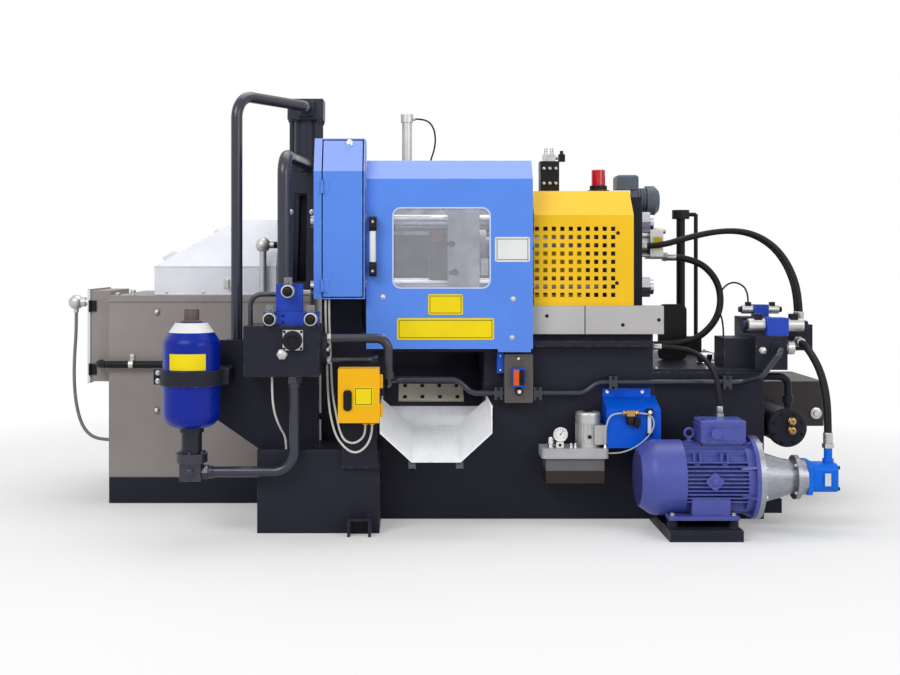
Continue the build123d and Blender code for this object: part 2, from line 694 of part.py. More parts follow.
PUMP_PORT_X = PUMP_RIGHT - 22
PUMP_PORT_Z = AXIS_Z + PUMP_SIZE / 2 + 56
with BuildPart() as gear_pump:
    with BuildSketch(Plane.YZ.offset(BELL_RIGHT)) as body:
        with Locations((AXIS_Y, AXIS_Z + 2)):
            RectangleRounded(PUMP_SIZE, PUMP_SIZE + 4, 26)
    extrude(body.sketch, amount=PUMP_LENGTH)
    with BuildSketch(Plane.YZ.offset(BELL_RIGHT)) as flange:
        with Locations((AXIS_Y, AXIS_Z + 2)):
            RectangleRounded(PUMP_SIZE + 18, PUMP_SIZE + 22, 20)
    extrude(flange.sketch, amount=16)
    rod_z(PUMP_PORT_X, AXIS_Y, 20, AXIS_Z, AXIS_Z + PUMP_SIZE / 2 + 18)
    rod_z(PUMP_PORT_X, AXIS_Y, 15, AXIS_Z, PUMP_PORT_Z)
finish("gear_pump", gear_pump.part)


# Clamp unit: platens on four tie bars, the ram and its cylinder
def bar_places():
    """Gives the four tie bar axes."""
    return [(y, CLAMP_Z + dz) for y in (-BAR_Y, BAR_Y) for dz in (-BAR_DZ, BAR_DZ)]


with BuildPart() as fixed_platen:
    block(FIXED_LEFT, FIXED_RIGHT, -PLATEN_WIDTH / 2, PLATEN_WIDTH / 2, BASE_HEIGHT, BASE_HEIGHT + FIXED_HEIGHT)
    chamfer(fixed_platen.edges().filter_by(Axis.X).group_by(Axis.Z)[-1], 60)
    for y, z in bar_places():
        rod_x(y, z, BAR_R + RUN, FIXED_LEFT, FIXED_RIGHT, Mode.SUBTRACT)
    block(FIXED_RIGHT, FIXED_RIGHT + FIXED_DIE, -DIE_WIDTH / 2, DIE_WIDTH / 2, CLAMP_Z - DIE_HEIGHT / 2,
          CLAMP_Z + DIE_HEIGHT / 2)
finish("fixed_platen", fixed_platen.part)

# Air cylinder of the spray unit, on an arm that reaches over the die space
SPRAY_X = FIXED_RIGHT + 188
SPRAY_Y = -200
SPRAY_R = 20
ARM_WIDTH = 60
ARM_THICK = 15
with BuildPart() as spray_cylinder:
    platen_top = BASE_HEIGHT + FIXED_HEIGHT
    arm_top = platen_top + ARM_THICK
    low_cap = arm_top + 40
    high_cap = low_cap + 170
    block(FIXED_LEFT + 30, SPRAY_X + 100, SPRAY_Y - ARM_WIDTH / 2, SPRAY_Y + ARM_WIDTH / 2, platen_top, arm_top)
    rod_z(SPRAY_X, SPRAY_Y, SPRAY_R, arm_top, high_cap)
    for z, height in ((arm_top, 40), (high_cap, 32)):
        rod_z(SPRAY_X, SPRAY_Y, SPRAY_R + 5, z, z + height)
    rod_x(SPRAY_Y, high_cap + 14, 7, SPRAY_X, SPRAY_X + SPRAY_R + 14)
finish("spray_cylinder", spray_cylinder.part)

with BuildPart() as rear_platen:
    block(REAR_LEFT, REAR_RIGHT, -REAR_WIDTH / 2, REAR_WIDTH / 2, BASE_HEIGHT, REAR_TOP)
    for y, z in bar_places():
        rod_x(y, z, BAR_R + RUN, REAR_LEFT, REAR_RIGHT, Mode.SUBTRACT)
    rod_x(0, RAM_Z, RAM_R + RUN, REAR_LEFT, REAR_RIGHT, Mode.SUBTRACT)
finish("rear_platen", rear_platen.part)

with BuildPart() as tie_bars:
    for y, z in bar_places():
        rod_x(y, z, BAR_R, FIXED_LEFT - BAR_END, REAR_RIGHT + BAR_END)
        for x in (FIXED_LEFT - NUT_LENGTH, REAR_RIGHT):
            with BuildSketch(Plane.YZ.offset(x)) as nut:
                with Locations((y, z)):
                    RegularPolygon(NUT_R, 6)
            extrude(nut.sketch, amount=NUT_LENGTH)
finish("tie_bars", tie_bars.part)

with BuildPart() as moving_platen:
    block(MOVING_LEFT, MOVING_RIGHT, -MOVING_WIDTH / 2, MOVING_WIDTH / 2, CLAMP_Z - MOVING_HEIGHT / 2,
          CLAMP_Z + MOVING_HEIGHT / 2)
    chamfer(moving_platen.edges().filter_by(Axis.X), 40)
    for y, z in bar_places():
        rod_x(y, z, BAR_R + RUN, MOVING_LEFT, MOVING_RIGHT, Mode.SUBTRACT)
    block(MOVING_LEFT - MOVING_DIE, MOVING_LEFT, -DIE_WIDTH / 2, DIE_WIDTH / 2, CLAMP_Z - DIE_HEIGHT / 2,
          CLAMP_Z + DIE_HEIGHT / 2)
    rod_x(0, RAM_Z, RAM_R, MOVING_RIGHT, CAP_FACE - 14)
    rod_x(0, RAM_Z, RAM_R + 30, MOVING_RIGHT, MOVING_RIGHT + 40)
finish("moving_platen", moving_platen.part)

with BuildPart() as clamp_cylinder:
    barrel = REAR_RIGHT + BARREL_LENGTH
    block(barrel, CAP_FACE, -CAP_SIZE / 2, CAP_SIZE / 2, RAM_Z - CAP_SIZE / 2, RAM_Z + CAP_SIZE / 2)
    fillet(clamp_cylinder.edges().filter_by(Axis.X), CAP_ROUND)
    rod_x(0, RAM_Z, BARREL_R, REAR_RIGHT, barrel)
    for y in (-50, 50):
        for z in (RAM_Z - 50, RAM_Z + 50):
            rod_x(y, z, 7, REAR_RIGHT, barrel)
    rod_x(0, RAM_Z, RAM_R + RUN, REAR_RIGHT, CAP_FACE - 8, Mode.SUBTRACT)
finish("clamp_cylinder", clamp_cylinder.part)

# Geared motor that sets the die height
GEAR_Y = -60
GEAR_Z = REAR_TOP - 6
GEAR_R = 46
GEAR_COWL_R = 62
GEAR_LENGTH = 56
GEAR_COWL = 52
with BuildPart() as gear_motor:
    cowl_x = REAR_RIGHT + GEAR_LENGTH
    rod_x(GEAR_Y, GEAR_Z, GEAR_R, REAR_RIGHT, cowl_x)
    rod_x(GEAR_Y, GEAR_Z, GEAR_COWL_R, cowl_x, cowl_x + GEAR_COWL)
    chamfer(gear_motor.edges().filter_by(GeomType.CIRCLE).group_by(Axis.X)[-1], 18)
    block(REAR_RIGHT, REAR_RIGHT + 20, GEAR_Y - 40, GEAR_Y + 40, GEAR_Z, GEAR_Z + 60)
    block(REAR_RIGHT - 70, REAR_RIGHT + 20, GEAR_Y - 48, GEAR_Y + 48, GEAR_Z + 46, GEAR_Z + 106)
    fillet(gear_motor.faces().sort_by(Axis.Z)[-1].edges(), 14)
    for x in range(22, GEAR_LENGTH - 8, 11):
        rod_x(GEAR_Y, GEAR_Z, GEAR_R + 7, REAR_RIGHT + x, REAR_RIGHT + x + 5)
finish("gear_motor", gear_motor.part)

# Sliding guard door: folded sheet with a rounded window, on two rollers
door_inner = DOOR_FRONT + SHEET
door_edge = DOOR_FRONT + DOOR_EDGE
with BuildPart() as guard_door:
    face = leaning(DOOR_FRONT, DOOR_BOTTOM, DOOR_BEND, DOOR_BEND + DOOR_RISE, DOOR_LEAN)
    back = leaning(door_inner, DOOR_BOTTOM, DOOR_BEND - 2, DOOR_BEND + DOOR_RISE - 6, DOOR_LEAN - SHEET)
    prism_x(face + back[::-1], DOOR_LEFT, DOOR_RIGHT)
    for x in (DOOR_LEFT, DOOR_RIGHT - SHEET):
        block(x, x + SHEET, DOOR_FRONT + 1, door_edge, DOOR_BOTTOM, DOOR_BEND - 2)
    block(DOOR_LEFT, DOOR_RIGHT, DOOR_FRONT + 1, door_edge, DOOR_BOTTOM, DOOR_BOTTOM + SHEET)
    block(DOOR_RIGHT - 7 - TAB_WIDTH, DOOR_RIGHT - 7, DOOR_FRONT, door_inner, DOOR_BOTTOM - TAB_DROP,
          DOOR_BOTTOM + 1)
    with BuildSketch(Plane.XZ.offset(-DOOR_FRONT + 1)) as window:
        with Locations((WINDOW_X, WINDOW_Z)):
            RectangleRounded(WINDOW_WIDTH, WINDOW_HEIGHT, WINDOW_R)
    extrude(window.sketch, amount=-SHEET - 2, mode=Mode.SUBTRACT)
    wheel_z = RAIL_TOP + RUN + WHEEL_R
    wheel_back = BASE_FRONT - RAIL_DEPTH + 22
    for x in (RAIL_LEFT + 40, DOOR_RIGHT - 60):
        block(x - 22, x + 22, door_inner - 1, door_edge, wheel_z - 6, wheel_z + 30)
        rod_y(x, wheel_z, 5, door_edge - 1, wheel_back)
        rod_y(x, wheel_z, WHEEL_R, door_edge + 6, wheel_back)
finish("guard_door", guard_door.part)

with BuildPart() as door_window:
    block(WINDOW_X - WINDOW_WIDTH / 2 - PANE_LAP, WINDOW_X + WINDOW_WIDTH / 2 + PANE_LAP, door_inner,
          door_inner + PANE_THICK, WINDOW_Z - WINDOW_HEIGHT / 2 - PANE_LAP,
          WINDOW_Z + WINDOW_HEIGHT / 2 + PANE_LAP)
finish("door_window", door_window.part)

with BuildPart() as door_handle:
    low = HANDLE_Z - HANDLE_LENGTH / 2
    high = HANDLE_Z + HANDLE_LENGTH / 2
    for z0, z1 in ((low, low + 52), (high - 52, high)):
        block(HANDLE_X - 14, HANDLE_X + 14, DOOR_FRONT - HANDLE_REACH, DOOR_FRONT, z0, z1)
    fillet(door_handle.edges().filter_by(Axis.X).group_by(Axis.Y)[0], 12)
    rod_z(HANDLE_X, DOOR_FRONT - HANDLE_REACH + 14, 11, low + 26, high - 26)
finish("door_handle", door_handle.part)

# Housing in front of the fixed platen and its door on two butt hinges
HINGE_X = HOUSING_LEFT + STRIP + GAP / 2
HINGE_Y = HOUSING_FRONT - HINGE_R - 1
HINGE_PLACES = [Plane(origin=(HINGE_X, HINGE_Y, HOUSING_BOTTOM + z), x_dir=(1, 0, 0), z_dir=(0, 0, 1))
                for z in (26, 395)]
with BuildPart() as guard_housing:
    back_wall = [(HOUSING_BACK, HOUSING_TOP), (HOUSING_BACK, HOUSING_BOTTOM)]
    shell = leaning(HOUSING_FRONT, HOUSING_BOTTOM, HOUSING_BEND, HOUSING_TOP, HOUSING_LEAN)
    prism_x(shell + back_wall, HOUSING_LEFT, HOUSING_RIGHT)
    inside = [(HOUSING_BACK - SHEET, HOUSING_TOP - SHEET), (HOUSING_BACK - SHEET, HOUSING_BOTTOM + SHEET)]
    mouth = leaning(HOUSING_FRONT - 20, HOUSING_BOTTOM + SHEET, HOUSING_BEND, HOUSING_TOP - SHEET, HOUSING_LEAN)
    prism_x(mouth + inside, HOUSING_LEFT + STRIP, HOUSING_RIGHT - SHEET, Mode.SUBTRACT)
    hollow = leaning(HOUSING_FRONT + SHEET, HOUSING_BOTTOM + SHEET, HOUSING_BEND - 2, HOUSING_TOP - SHEET,
                     HOUSING_LEAN)
    prism_x(hollow + inside, HOUSING_LEFT + SHEET, HOUSING_LEFT + STRIP, Mode.SUBTRACT)
    for place in HINGE_PLACES:
        hinge_half(place, True)
finish("guard_housing", guard_housing.part)

with BuildPart() as housing_door:
    low = HOUSING_BOTTOM + SHEET + GAP
    high = HOUSING_TOP - SHEET - GAP
    lean = HOUSING_LEAN * (high - HOUSING_BEND) / HOUSING_RISE
    face = leaning(HOUSING_FRONT, low, HOUSING_BEND, high, lean)
    back = leaning(HOUSING_FRONT + SHEET, low, HOUSING_BEND - 1, high, lean + SHEET)
    prism_x(face + back[::-1], HOUSING_LEFT + STRIP + GAP, HOUSING_RIGHT - SHEET - GAP)
    for place in HINGE_PLACES:
        hinge_half(place, False)
finish("housing_door", housing_door.part)

# Perforated guard, its folded cover and the sills
with BuildPart() as toggle_guard:
    block(GUARD_LEFT, GUARD_RIGHT, GUARD_FRONT, GUARD_FRONT + SHEET, GUARD_BOTTOM, GUARD_BEND)
    grid_x = GUARD_LEFT + 11 + HOLE_PITCH_X * (HOLE_COLUMNS - 1) / 2
    grid_z = GUARD_BOTTOM + 42 + HOLE_PITCH_Z * (HOLE_ROWS - 1) / 2
    with BuildSketch(Plane.XZ.offset(-GUARD_FRONT + 1)) as holes:
        with Locations((grid_x, grid_z)):
            with GridLocations(HOLE_PITCH_X, HOLE_PITCH_Z, HOLE_COLUMNS, HOLE_ROWS):
                Rectangle(HOLE, HOLE)
    extrude(holes.sketch, amount=-SHEET - 2, mode=Mode.SUBTRACT)
finish("toggle_guard", toggle_guard.part)

with BuildPart() as toggle_cover:
    outer = [(GUARD_FRONT, GUARD_BEND), (GUARD_FRONT + GUARD_LEAN, GUARD_TOP),
             (-GUARD_FRONT - GUARD_LEAN, GUARD_TOP), (-GUARD_FRONT, GUARD_BEND), (-GUARD_FRONT, GUARD_BOTTOM)]
    inner = [(-GUARD_FRONT - SHEET, GUARD_BOTTOM), (-GUARD_FRONT - SHEET, GUARD_BEND - 2),
             (-GUARD_FRONT - GUARD_LEAN - 2, GUARD_TOP - SHEET),
             (GUARD_FRONT + GUARD_LEAN + 2, GUARD_TOP - SHEET), (GUARD_FRONT + 6, GUARD_BEND)]
    prism_x(outer + inner, GUARD_LEFT, GUARD_RIGHT)
finish("toggle_cover", toggle_cover.part)

with BuildPart() as sill_panels:
    sill_back = SILL_FRONT + SILL_DEPTH
    sill_right = SILL_LEFT + SILL_LENGTH
    for x0, x1 in ((SILL_LEFT, SILL_SPLIT), (SILL_SPLIT + SILL_SEAM, sill_right)):
        block(x0, x1, SILL_FRONT, sill_back, BASE_HEIGHT, GUARD_BOTTOM)
    block(GUARD_LEFT, BASE_RIGHT, -sill_back, -SILL_FRONT, BASE_HEIGHT, GUARD_BOTTOM)
finish("sill_panels", sill_panels.part)

with BuildPart() as rear_guard:
    rear_y = PLATEN_WIDTH / 2 + REAR_GUARD_GAP
    block(FIXED_RIGHT, GUARD_LEFT, rear_y, rear_y + SHEET, BASE_HEIGHT, BASE_HEIGHT + FIXED_HEIGHT)
    block(FIXED_RIGHT, FIXED_RIGHT + SHEET, PLATEN_WIDTH / 2 - REAR_GUARD_GAP, rear_y, BASE_HEIGHT,
          BASE_HEIGHT + FIXED_HEIGHT)
finish("rear_guard", rear_guard.part)

BEACON_X = GUARD_RIGHT - 85
BEACON_Y = -150
BEACON_R = 28
BEACON_FOOT_R = 45
with BuildPart() as beacon:
    lens = GUARD_TOP + 33
    rod_z(BEACON_X, BEACON_Y, BEACON_R, lens, lens + 65)
    fillet(beacon.edges().filter_by(GeomType.CIRCLE).group_by(Axis.Z)[-1], 5)
    rod_z(BEACON_X, BEACON_Y, BEACON_R + 6, GUARD_TOP, lens)
    rod_z(BEACON_X, BEACON_Y, BEACON_FOOT_R, GUARD_TOP, GUARD_TOP + 14)
finish("beacon", beacon.part)

with BuildPart() as oil_distributor:
    post = GUARD_LEFT + 55
    block(post, post + 76, -190, -110, GUARD_TOP, GUARD_TOP + 131)
    block(post + 16, post + 60, -170, -130, GUARD_TOP + 131, GUARD_TOP + 156)
finish("oil_distributor", oil_distributor.part)

with BuildPart() as rear_cylinder:
    post_x = TANK_RIGHT - 156
    post_y = BASE_BACK - 170
    rod_z(post_x, post_y, 19, TANK_HEIGHT, TANK_HEIGHT + 596)
    rod_z(post_x, post_y, 38, TANK_HEIGHT + 595, TANK_HEIGHT + 635)
    block(post_x - 29, post_x + 86, post_y - 30, post_y + 30, TANK_HEIGHT, TANK_HEIGHT + 76)
    rod_z(post_x + 67, post_y, 9, TANK_HEIGHT + 76, TANK_HEIGHT + 618)
    rod_x(post_y, TANK_HEIGHT + 615, 9, post_x, post_x + 67)
finish("rear_cylinder", rear_cylinder.part)

# Injection unit: frame of two slotted plates, upright cylinder and its two large tubes
with BuildPart() as injection_frame:
    side = [(FIXED_LEFT - FRAME_FOOT, FRAME_BOTTOM), (FIXED_LEFT, FRAME_BOTTOM), (FIXED_LEFT, FRAME_TOP),
            (FIXED_LEFT - FRAME_HEAD, FRAME_TOP)]
    prism_y(side, -FRAME_WIDTH / 2, FRAME_WIDTH / 2)
    slot = [(INJ_X - 48, FRAME_BOTTOM + 34), (INJ_X + 8, FRAME_BOTTOM + 34), (INJ_X + 12, FRAME_TOP - 82),
            (INJ_X - 38, FRAME_TOP - 82)]
    prism_y(slot, -FRAME_WIDTH / 2 - 1, FRAME_WIDTH / 2 + 1, Mode.SUBTRACT)
    inner = FRAME_WIDTH / 2 - FRAME_PLATE
    block(FIXED_LEFT - FRAME_FOOT - 1, FIXED_LEFT - 20, -inner, inner, FRAME_BOTTOM - 1, FRAME_TOP - 46,
          Mode.SUBTRACT)
finish("injection_frame", injection_frame.part)

HEAD_BOTTOM = FRAME_TOP + CYL_LENGTH
TALL_TOP = HEAD_BOTTOM + CYL_HEAD / 2
SHORT_TOP = FRAME_TOP + LOW_HEAD / 2 + 1
TUBE_END = -CYL_SIZE / 2 - TUBE_FLANGE
TALL_END = INJ_X + 6
SHORT_END = INJ_X + 10
with BuildPart() as injection_cylinder:
    half = CYL_SIZE / 2
    for z, height in ((HEAD_BOTTOM, CYL_HEAD), (FRAME_TOP, LOW_HEAD)):
        block(INJ_X - half, INJ_X + half, -half, half, z, z + height)
    chamfer(injection_cylinder.edges().filter_by(Axis.Z), 8)
    rod_z(INJ_X, 0, CYL_R, FRAME_TOP + LOW_HEAD, HEAD_BOTTOM)
    for x in (INJ_X - CYL_ROD, INJ_X + CYL_ROD):
        for y in (-CYL_ROD, CYL_ROD):
            rod_z(x, y, CYL_ROD_R, FRAME_TOP + LOW_HEAD, HEAD_BOTTOM)
    reach = TUBE_FLANGE_SIZE / 2
    for x, z in ((TALL_END, TALL_TOP), (SHORT_END, SHORT_TOP)):
        block(x - reach, x + reach, TUBE_END, -half, z - reach, z + reach)
finish("injection_cylinder", injection_cylinder.part)

VALVE_PLATE = 48
COLUMN_X = MAN_LEFT + 114
COLUMN_HEIGHT = 100
ELBOW_Y = MAN_FRONT + 65
ELBOW_Z = MAN_TOP + VALVE_PLATE + 63
TALL = [(TALL_X, TALL_Y, TALL_FOOT), (TALL_X, TALL_Y, TALL_TOP), (TALL_END, TUBE_END - 75, TALL_TOP),
        (TALL_END, TUBE_END, TALL_TOP)]
SHORT = [(SHORT_X, SHORT_Y, MAN_TOP), (SHORT_X, SHORT_Y, SHORT_TOP), (SHORT_END, TUBE_END - 60, SHORT_TOP),
         (SHORT_END, TUBE_END, SHORT_TOP)]
ELBOW = [(MAN_LEFT + ELBOW_X, ELBOW_Y, MAN_TOP), (MAN_LEFT + ELBOW_X, ELBOW_Y, ELBOW_Z),
         (COLUMN_X, ELBOW_Y, ELBOW_Z)]
with BuildPart() as injection_tubes:
    tube(TALL, TALL_R, [86, 100])
    tube(SHORT, SHORT_R, [75, 150])
    tube(ELBOW, ELBOW_R, [42])
finish("injection_tubes", injection_tubes.part)

PORT_X = MAN_RIGHT + SIDE_FLANGE
PORT_Y = MAN_FRONT + SIDE_SETBACK
PORT_Z = MAN_BOTTOM + SIDE_RISE
with BuildPart() as injection_manifold:
    block(MAN_LEFT, MAN_RIGHT, MAN_FRONT, PLATE_FRONT, MAN_BOTTOM, MAN_TOP)
    chamfer(injection_manifold.edges(), 3)
    rod_y(MAN_LEFT + FRONT_PORT_X, MAN_TOP - FRONT_PORT_DROP, FRONT_PORT_R, MAN_FRONT - FRONT_PORT,
          MAN_FRONT + 1)
    rod_x(PORT_Y, PORT_Z, SIDE_FLANGE_R, MAN_RIGHT - 1, PORT_X)
finish("injection_manifold", injection_manifold.part)

with BuildPart() as injection_valves:
    front = MAN_FRONT + 20
    plate_top = MAN_TOP + VALVE_PLATE
    block(MAN_LEFT + 71, MAN_RIGHT - 7, front, front + 90, MAN_TOP, plate_top)
    block(COLUMN_X, COLUMN_X + 92, front + 10, front + 90, plate_top, plate_top + COLUMN_HEIGHT)
    for x, z, back in ((MAN_LEFT + 160, plate_top + 75, front + 10), (MAN_LEFT + 96, MAN_TOP + 24, front),
                       (MAN_RIGHT - 31, MAN_TOP + 24, front)):
        rod_y(x, z, 22, back - 45, back + 1)
        rod_y(x, z, 12, back - 55, back)
finish("injection_valves", injection_valves.part)

# Accumulator: forged bottle with a neck and a gas valve, feed pipe with its foot block
with BuildPart() as accumulator:
    shell_low = ACC_FOOT + ACC_NECK
    shell_top = shell_low + ACC_BODY
    with BuildSketch(Plane.XZ.offset(-ACC_Y)) as half_bottle:
        with BuildLine():
            Polyline((ACC_X, ACC_FOOT), (ACC_X + ACC_NECK_R, ACC_FOOT),
                     (ACC_X + ACC_NECK_R, shell_low - ACC_COLLAR),
                     (ACC_X + ACC_COLLAR_R, shell_low - ACC_COLLAR), (ACC_X + ACC_COLLAR_R, shell_low),
                     (ACC_X + ACC_R, shell_low), (ACC_X + ACC_R, shell_top - ACC_SHOULDER),
                     (ACC_X + ACC_CROWN_R, shell_top), (ACC_X + ACC_CAP_R, shell_top),
                     (ACC_X + ACC_CAP_R, shell_top + ACC_CAP), (ACC_X, shell_top + ACC_CAP), close=True)
        make_face()
        fillet(half_bottle.vertices().group_by(Axis.X)[-1].sort_by(Axis.Y)[-1], 40)
        fillet(half_bottle.vertices().group_by(Axis.X)[-1].sort_by(Axis.Y)[0], 54)
    revolve(half_bottle.sketch, axis=Axis((ACC_X, ACC_Y, 0), (0, 0, 1)))
finish("accumulator", accumulator.part)

FEED = [(ACC_X + 37, ACC_Y, FEED_Z), (FEED_X, ACC_Y, FEED_Z), (FEED_X, ACC_Y, MAN_BOTTOM)]
with BuildPart() as accumulator_pipe:
    tube(FEED, FEED_R, [75])
    rod_z(ACC_X, ACC_Y, 57, ACC_FOOT - 32, ACC_FOOT)
    block(ACC_X - 38, ACC_X + 38, ACC_Y - 38, ACC_Y + 38, FEED_Z - 29, ACC_FOOT - 31)
finish("accumulator_pipe", accumulator_pipe.part)

# Pressure pipes along the front: a thick one down to a coupling, a thin one broken at the switch box and
# the lower tube back into the base; clamps hold the thin one
PIPE_HIGH = DROP_SILL + 185
SWITCH_RIGHT = SWITCH_LEFT + SWITCH_WIDTH
THICK_X = DROP_LEFT + 22
THICK_Z = PORT_Z + THICK_RISE
COUPLING = 25
COUPLING_Z = PIPE_HIGH + 38
LOWER_X = DROP_LEFT - 25
CROSS_Z = PIPE_LOW + 41
inlet_x = BLOCK_RIGHT - INLET_X
inlet_z = TANK_HEIGHT + INLET_Z
THICK_RUN = [(PORT_X, PORT_Y, THICK_Z), (THICK_X, PORT_Y, THICK_Z), (THICK_X, PORT_Y, COUPLING_Z)]
LEFT_RUN = [(THICK_X, PORT_Y, COUPLING_Z), (THICK_X, PORT_Y, PIPE_HIGH), (THICK_X, PIPE_Y, PIPE_HIGH),
            (DROP_RIGHT - 105, PIPE_Y, PIPE_HIGH), (DROP_RIGHT - 50, PIPE_Y, PIPE_LOW),
            (SWITCH_LEFT, PIPE_Y, PIPE_LOW)]
RIGHT_RUN = [(SWITCH_RIGHT, PIPE_Y, PIPE_LOW), (SWITCH_RIGHT + 196, PIPE_Y, PIPE_LOW),
             (SWITCH_RIGHT + 251, PIPE_Y, CROSS_Z), (BLOCK_LEFT - 50, PIPE_Y, CROSS_Z),
             (BLOCK_LEFT + 10, BLOCK_FRONT - 40, CROSS_Z + 24), (inlet_x, BLOCK_FRONT - 62, inlet_z),
             (inlet_x, BLOCK_FRONT - INLET, inlet_z)]
LOWER_RUN = [(PORT_X, PORT_Y, PORT_Z - LOWER_DROP), (LOWER_X, PORT_Y, PORT_Z - LOWER_DROP),
             (LOWER_X, BASE_FRONT, PORT_Z - LOWER_DROP)]
CLAMPS = [(SWITCH_LEFT - 37, PIPE_LOW), (SWITCH_RIGHT + 4, PIPE_LOW), (SWITCH_RIGHT + 290, CROSS_Z),
          (BLOCK_LEFT - 123, CROSS_Z)]
with BuildPart() as pressure_pipe:
    tube(THICK_RUN, THICK_R, [45])
    tube(LEFT_RUN, PIPE_R, [30, 60, 60, 60])
    rod_z(THICK_X, PORT_Y, THICK_R + 5, COUPLING_Z - COUPLING / 2, COUPLING_Z + COUPLING / 2)
    tube(RIGHT_RUN, PIPE_R, [60, 60, 60, 40, 26])
    tube(LOWER_RUN, LOWER_R, [40])
    for x, z in CLAMPS:
        block(x, x + CLAMP_WIDTH, PIPE_Y - 26, BASE_FRONT, z - CLAMP_HALF, z + CLAMP_HALF)
finish("pressure_pipe", pressure_pipe.part)

# Furnace with its hood, control box and thermocouples
with BuildPart() as furnace_base:
    block(FURN_LEFT + 7, BASE_LEFT, FURN_FRONT, BASE_BACK, 0, FURN_FOOT)
    block(FURN_LEFT + 7, FURN_RIGHT, BASE_BACK, FURN_FRONT + FURN_DEPTH, 0, FURN_FOOT)
finish("furnace_base", furnace_base.part)

with BuildPart() as furnace_body:
    block(FURN_LEFT + 5, FURN_RIGHT, FURN_FRONT + 5, FURN_FRONT + FURN_DEPTH, FURN_FOOT, FURN_TOP - LIP)
    block(FURN_LEFT, FURN_RIGHT, FURN_FRONT, FURN_FRONT + FURN_DEPTH, FURN_TOP - LIP, FURN_TOP)
finish("furnace_body", furnace_body.part)

with BuildPart() as furnace_hood:
    hood_wall = FURN_TOP + HOOD_WALL
    hood_left = HOOD_RIGHT - HOOD_LENGTH
    block(hood_left, HOOD_RIGHT, HOOD_FRONT, HOOD_FRONT + HOOD_DEPTH, FURN_TOP, hood_wall)
    with BuildSketch(Plane.XY.offset(hood_wall)):
        with Locations((HOOD_RIGHT - HOOD_LENGTH / 2, HOOD_FRONT + HOOD_DEPTH / 2)):
            Rectangle(HOOD_LENGTH, HOOD_DEPTH)
    with BuildSketch(Plane.XY.offset(hood_wall + HOOD_RISE)):
        with Locations((HOOD_RIGHT - HOOD_TOP_LENGTH / 2, HOOD_FRONT + HOOD_DEPTH / 2)):
            Rectangle(HOOD_TOP_LENGTH, HOOD_TOP_DEPTH)
    loft(ruled=True)
finish("furnace_hood", furnace_hood.part)

PANEL_BOX_LEFT = FURN_LEFT - PANEL_BOX_DEPTH
PROBE_Y = FURN_FRONT + 160
PROBE_Z = PANEL_BOX_Z + PANEL_BOX_HEIGHT - 50
PROBE_X = PANEL_BOX_LEFT - 85
with BuildPart() as control_box:
    side = FURN_LEFT + 5
    front = FURN_FRONT + 60
    block(PANEL_BOX_LEFT, side, front, front + PANEL_BOX_WIDTH, PANEL_BOX_Z, PANEL_BOX_Z + PANEL_BOX_HEIGHT)
    block(FURN_LEFT - 1, side + 1, front - 1, front + PANEL_BOX_WIDTH + 1, FURN_TOP - LIP,
          PANEL_BOX_Z + PANEL_BOX_HEIGHT + 1, Mode.SUBTRACT)
    block(PANEL_BOX_LEFT - PANEL_DOOR, PANEL_BOX_LEFT, front - 6, front + PANEL_BOX_WIDTH + 6, PANEL_BOX_Z - 6,
          PANEL_BOX_Z + PANEL_BOX_HEIGHT + 6)
finish("control_box", control_box.part)

# Thermocouples with round heads, one on the control box and one in the melt
PROBE_R = 30
STEM_R = 14
GLAND_R = 10
MELT_X = HOOD_RIGHT - 51
MELT_Y = HOOD_FRONT - 25
MELT_Z = FURN_TOP + 207
with BuildPart() as thermocouples:
    with Locations((PROBE_X, PROBE_Y, PROBE_Z), (MELT_X, MELT_Y, MELT_Z)):
        Sphere(PROBE_R)
    rod_x(PROBE_Y, PROBE_Z, STEM_R, PROBE_X, PANEL_BOX_LEFT - PANEL_DOOR)
    rod_x(PROBE_Y, PROBE_Z, STEM_R + 6, PROBE_X + 20, PROBE_X + 40)
    rod_z(PROBE_X, PROBE_Y, GLAND_R, PROBE_Z - 44, PROBE_Z)
    rod_z(MELT_X, MELT_Y, STEM_R, FURN_TOP, MELT_Z)
    rod_x(MELT_Y, MELT_Z, GLAND_R, MELT_X, MELT_X + 44)
finish("thermocouples", thermocouples.part)


# Chute that brings the castings out to the front: folded sheet, falling towards the operator
def trough(y, floor):
    """Closed outline of the chute's sheet at a depth, with its plane."""
    slant = (CHUTE_WIDTH - CHUTE_FLOOR) / 2
    xs = [0, 0, slant, CHUTE_WIDTH - slant, CHUTE_WIDTH, CHUTE_WIDTH]
    zs = [CHUTE_TOP, floor + CHUTE_SIDE, floor, floor, floor + CHUTE_SIDE, CHUTE_TOP]
    inset = [SHEET, SHEET, SHEET / 2, -SHEET / 2, -SHEET, -SHEET]
    lift = [0, SHEET / 2, SHEET, SHEET, SHEET / 2, 0]
    outer = [(CHUTE_LEFT + x, z) for x, z in zip(xs, zs)]
    inner = [(x + dx, z + dz) for (x, z), dx, dz in zip(outer, inset, lift)]
    return Plane.XZ.offset(-y), outer + inner[::-1]


with BuildPart() as parts_chute:
    for y, floor in ((BASE_FRONT, DROP_SILL), (CHUTE_FRONT, DROP_SILL - CHUTE_FALL)):
        plane, points = trough(y, floor)
        with BuildSketch(plane):
            with BuildLine():
                Polyline(*points, close=True)
            make_face()
    loft(ruled=True)
finish("parts_chute", parts_chute.part)

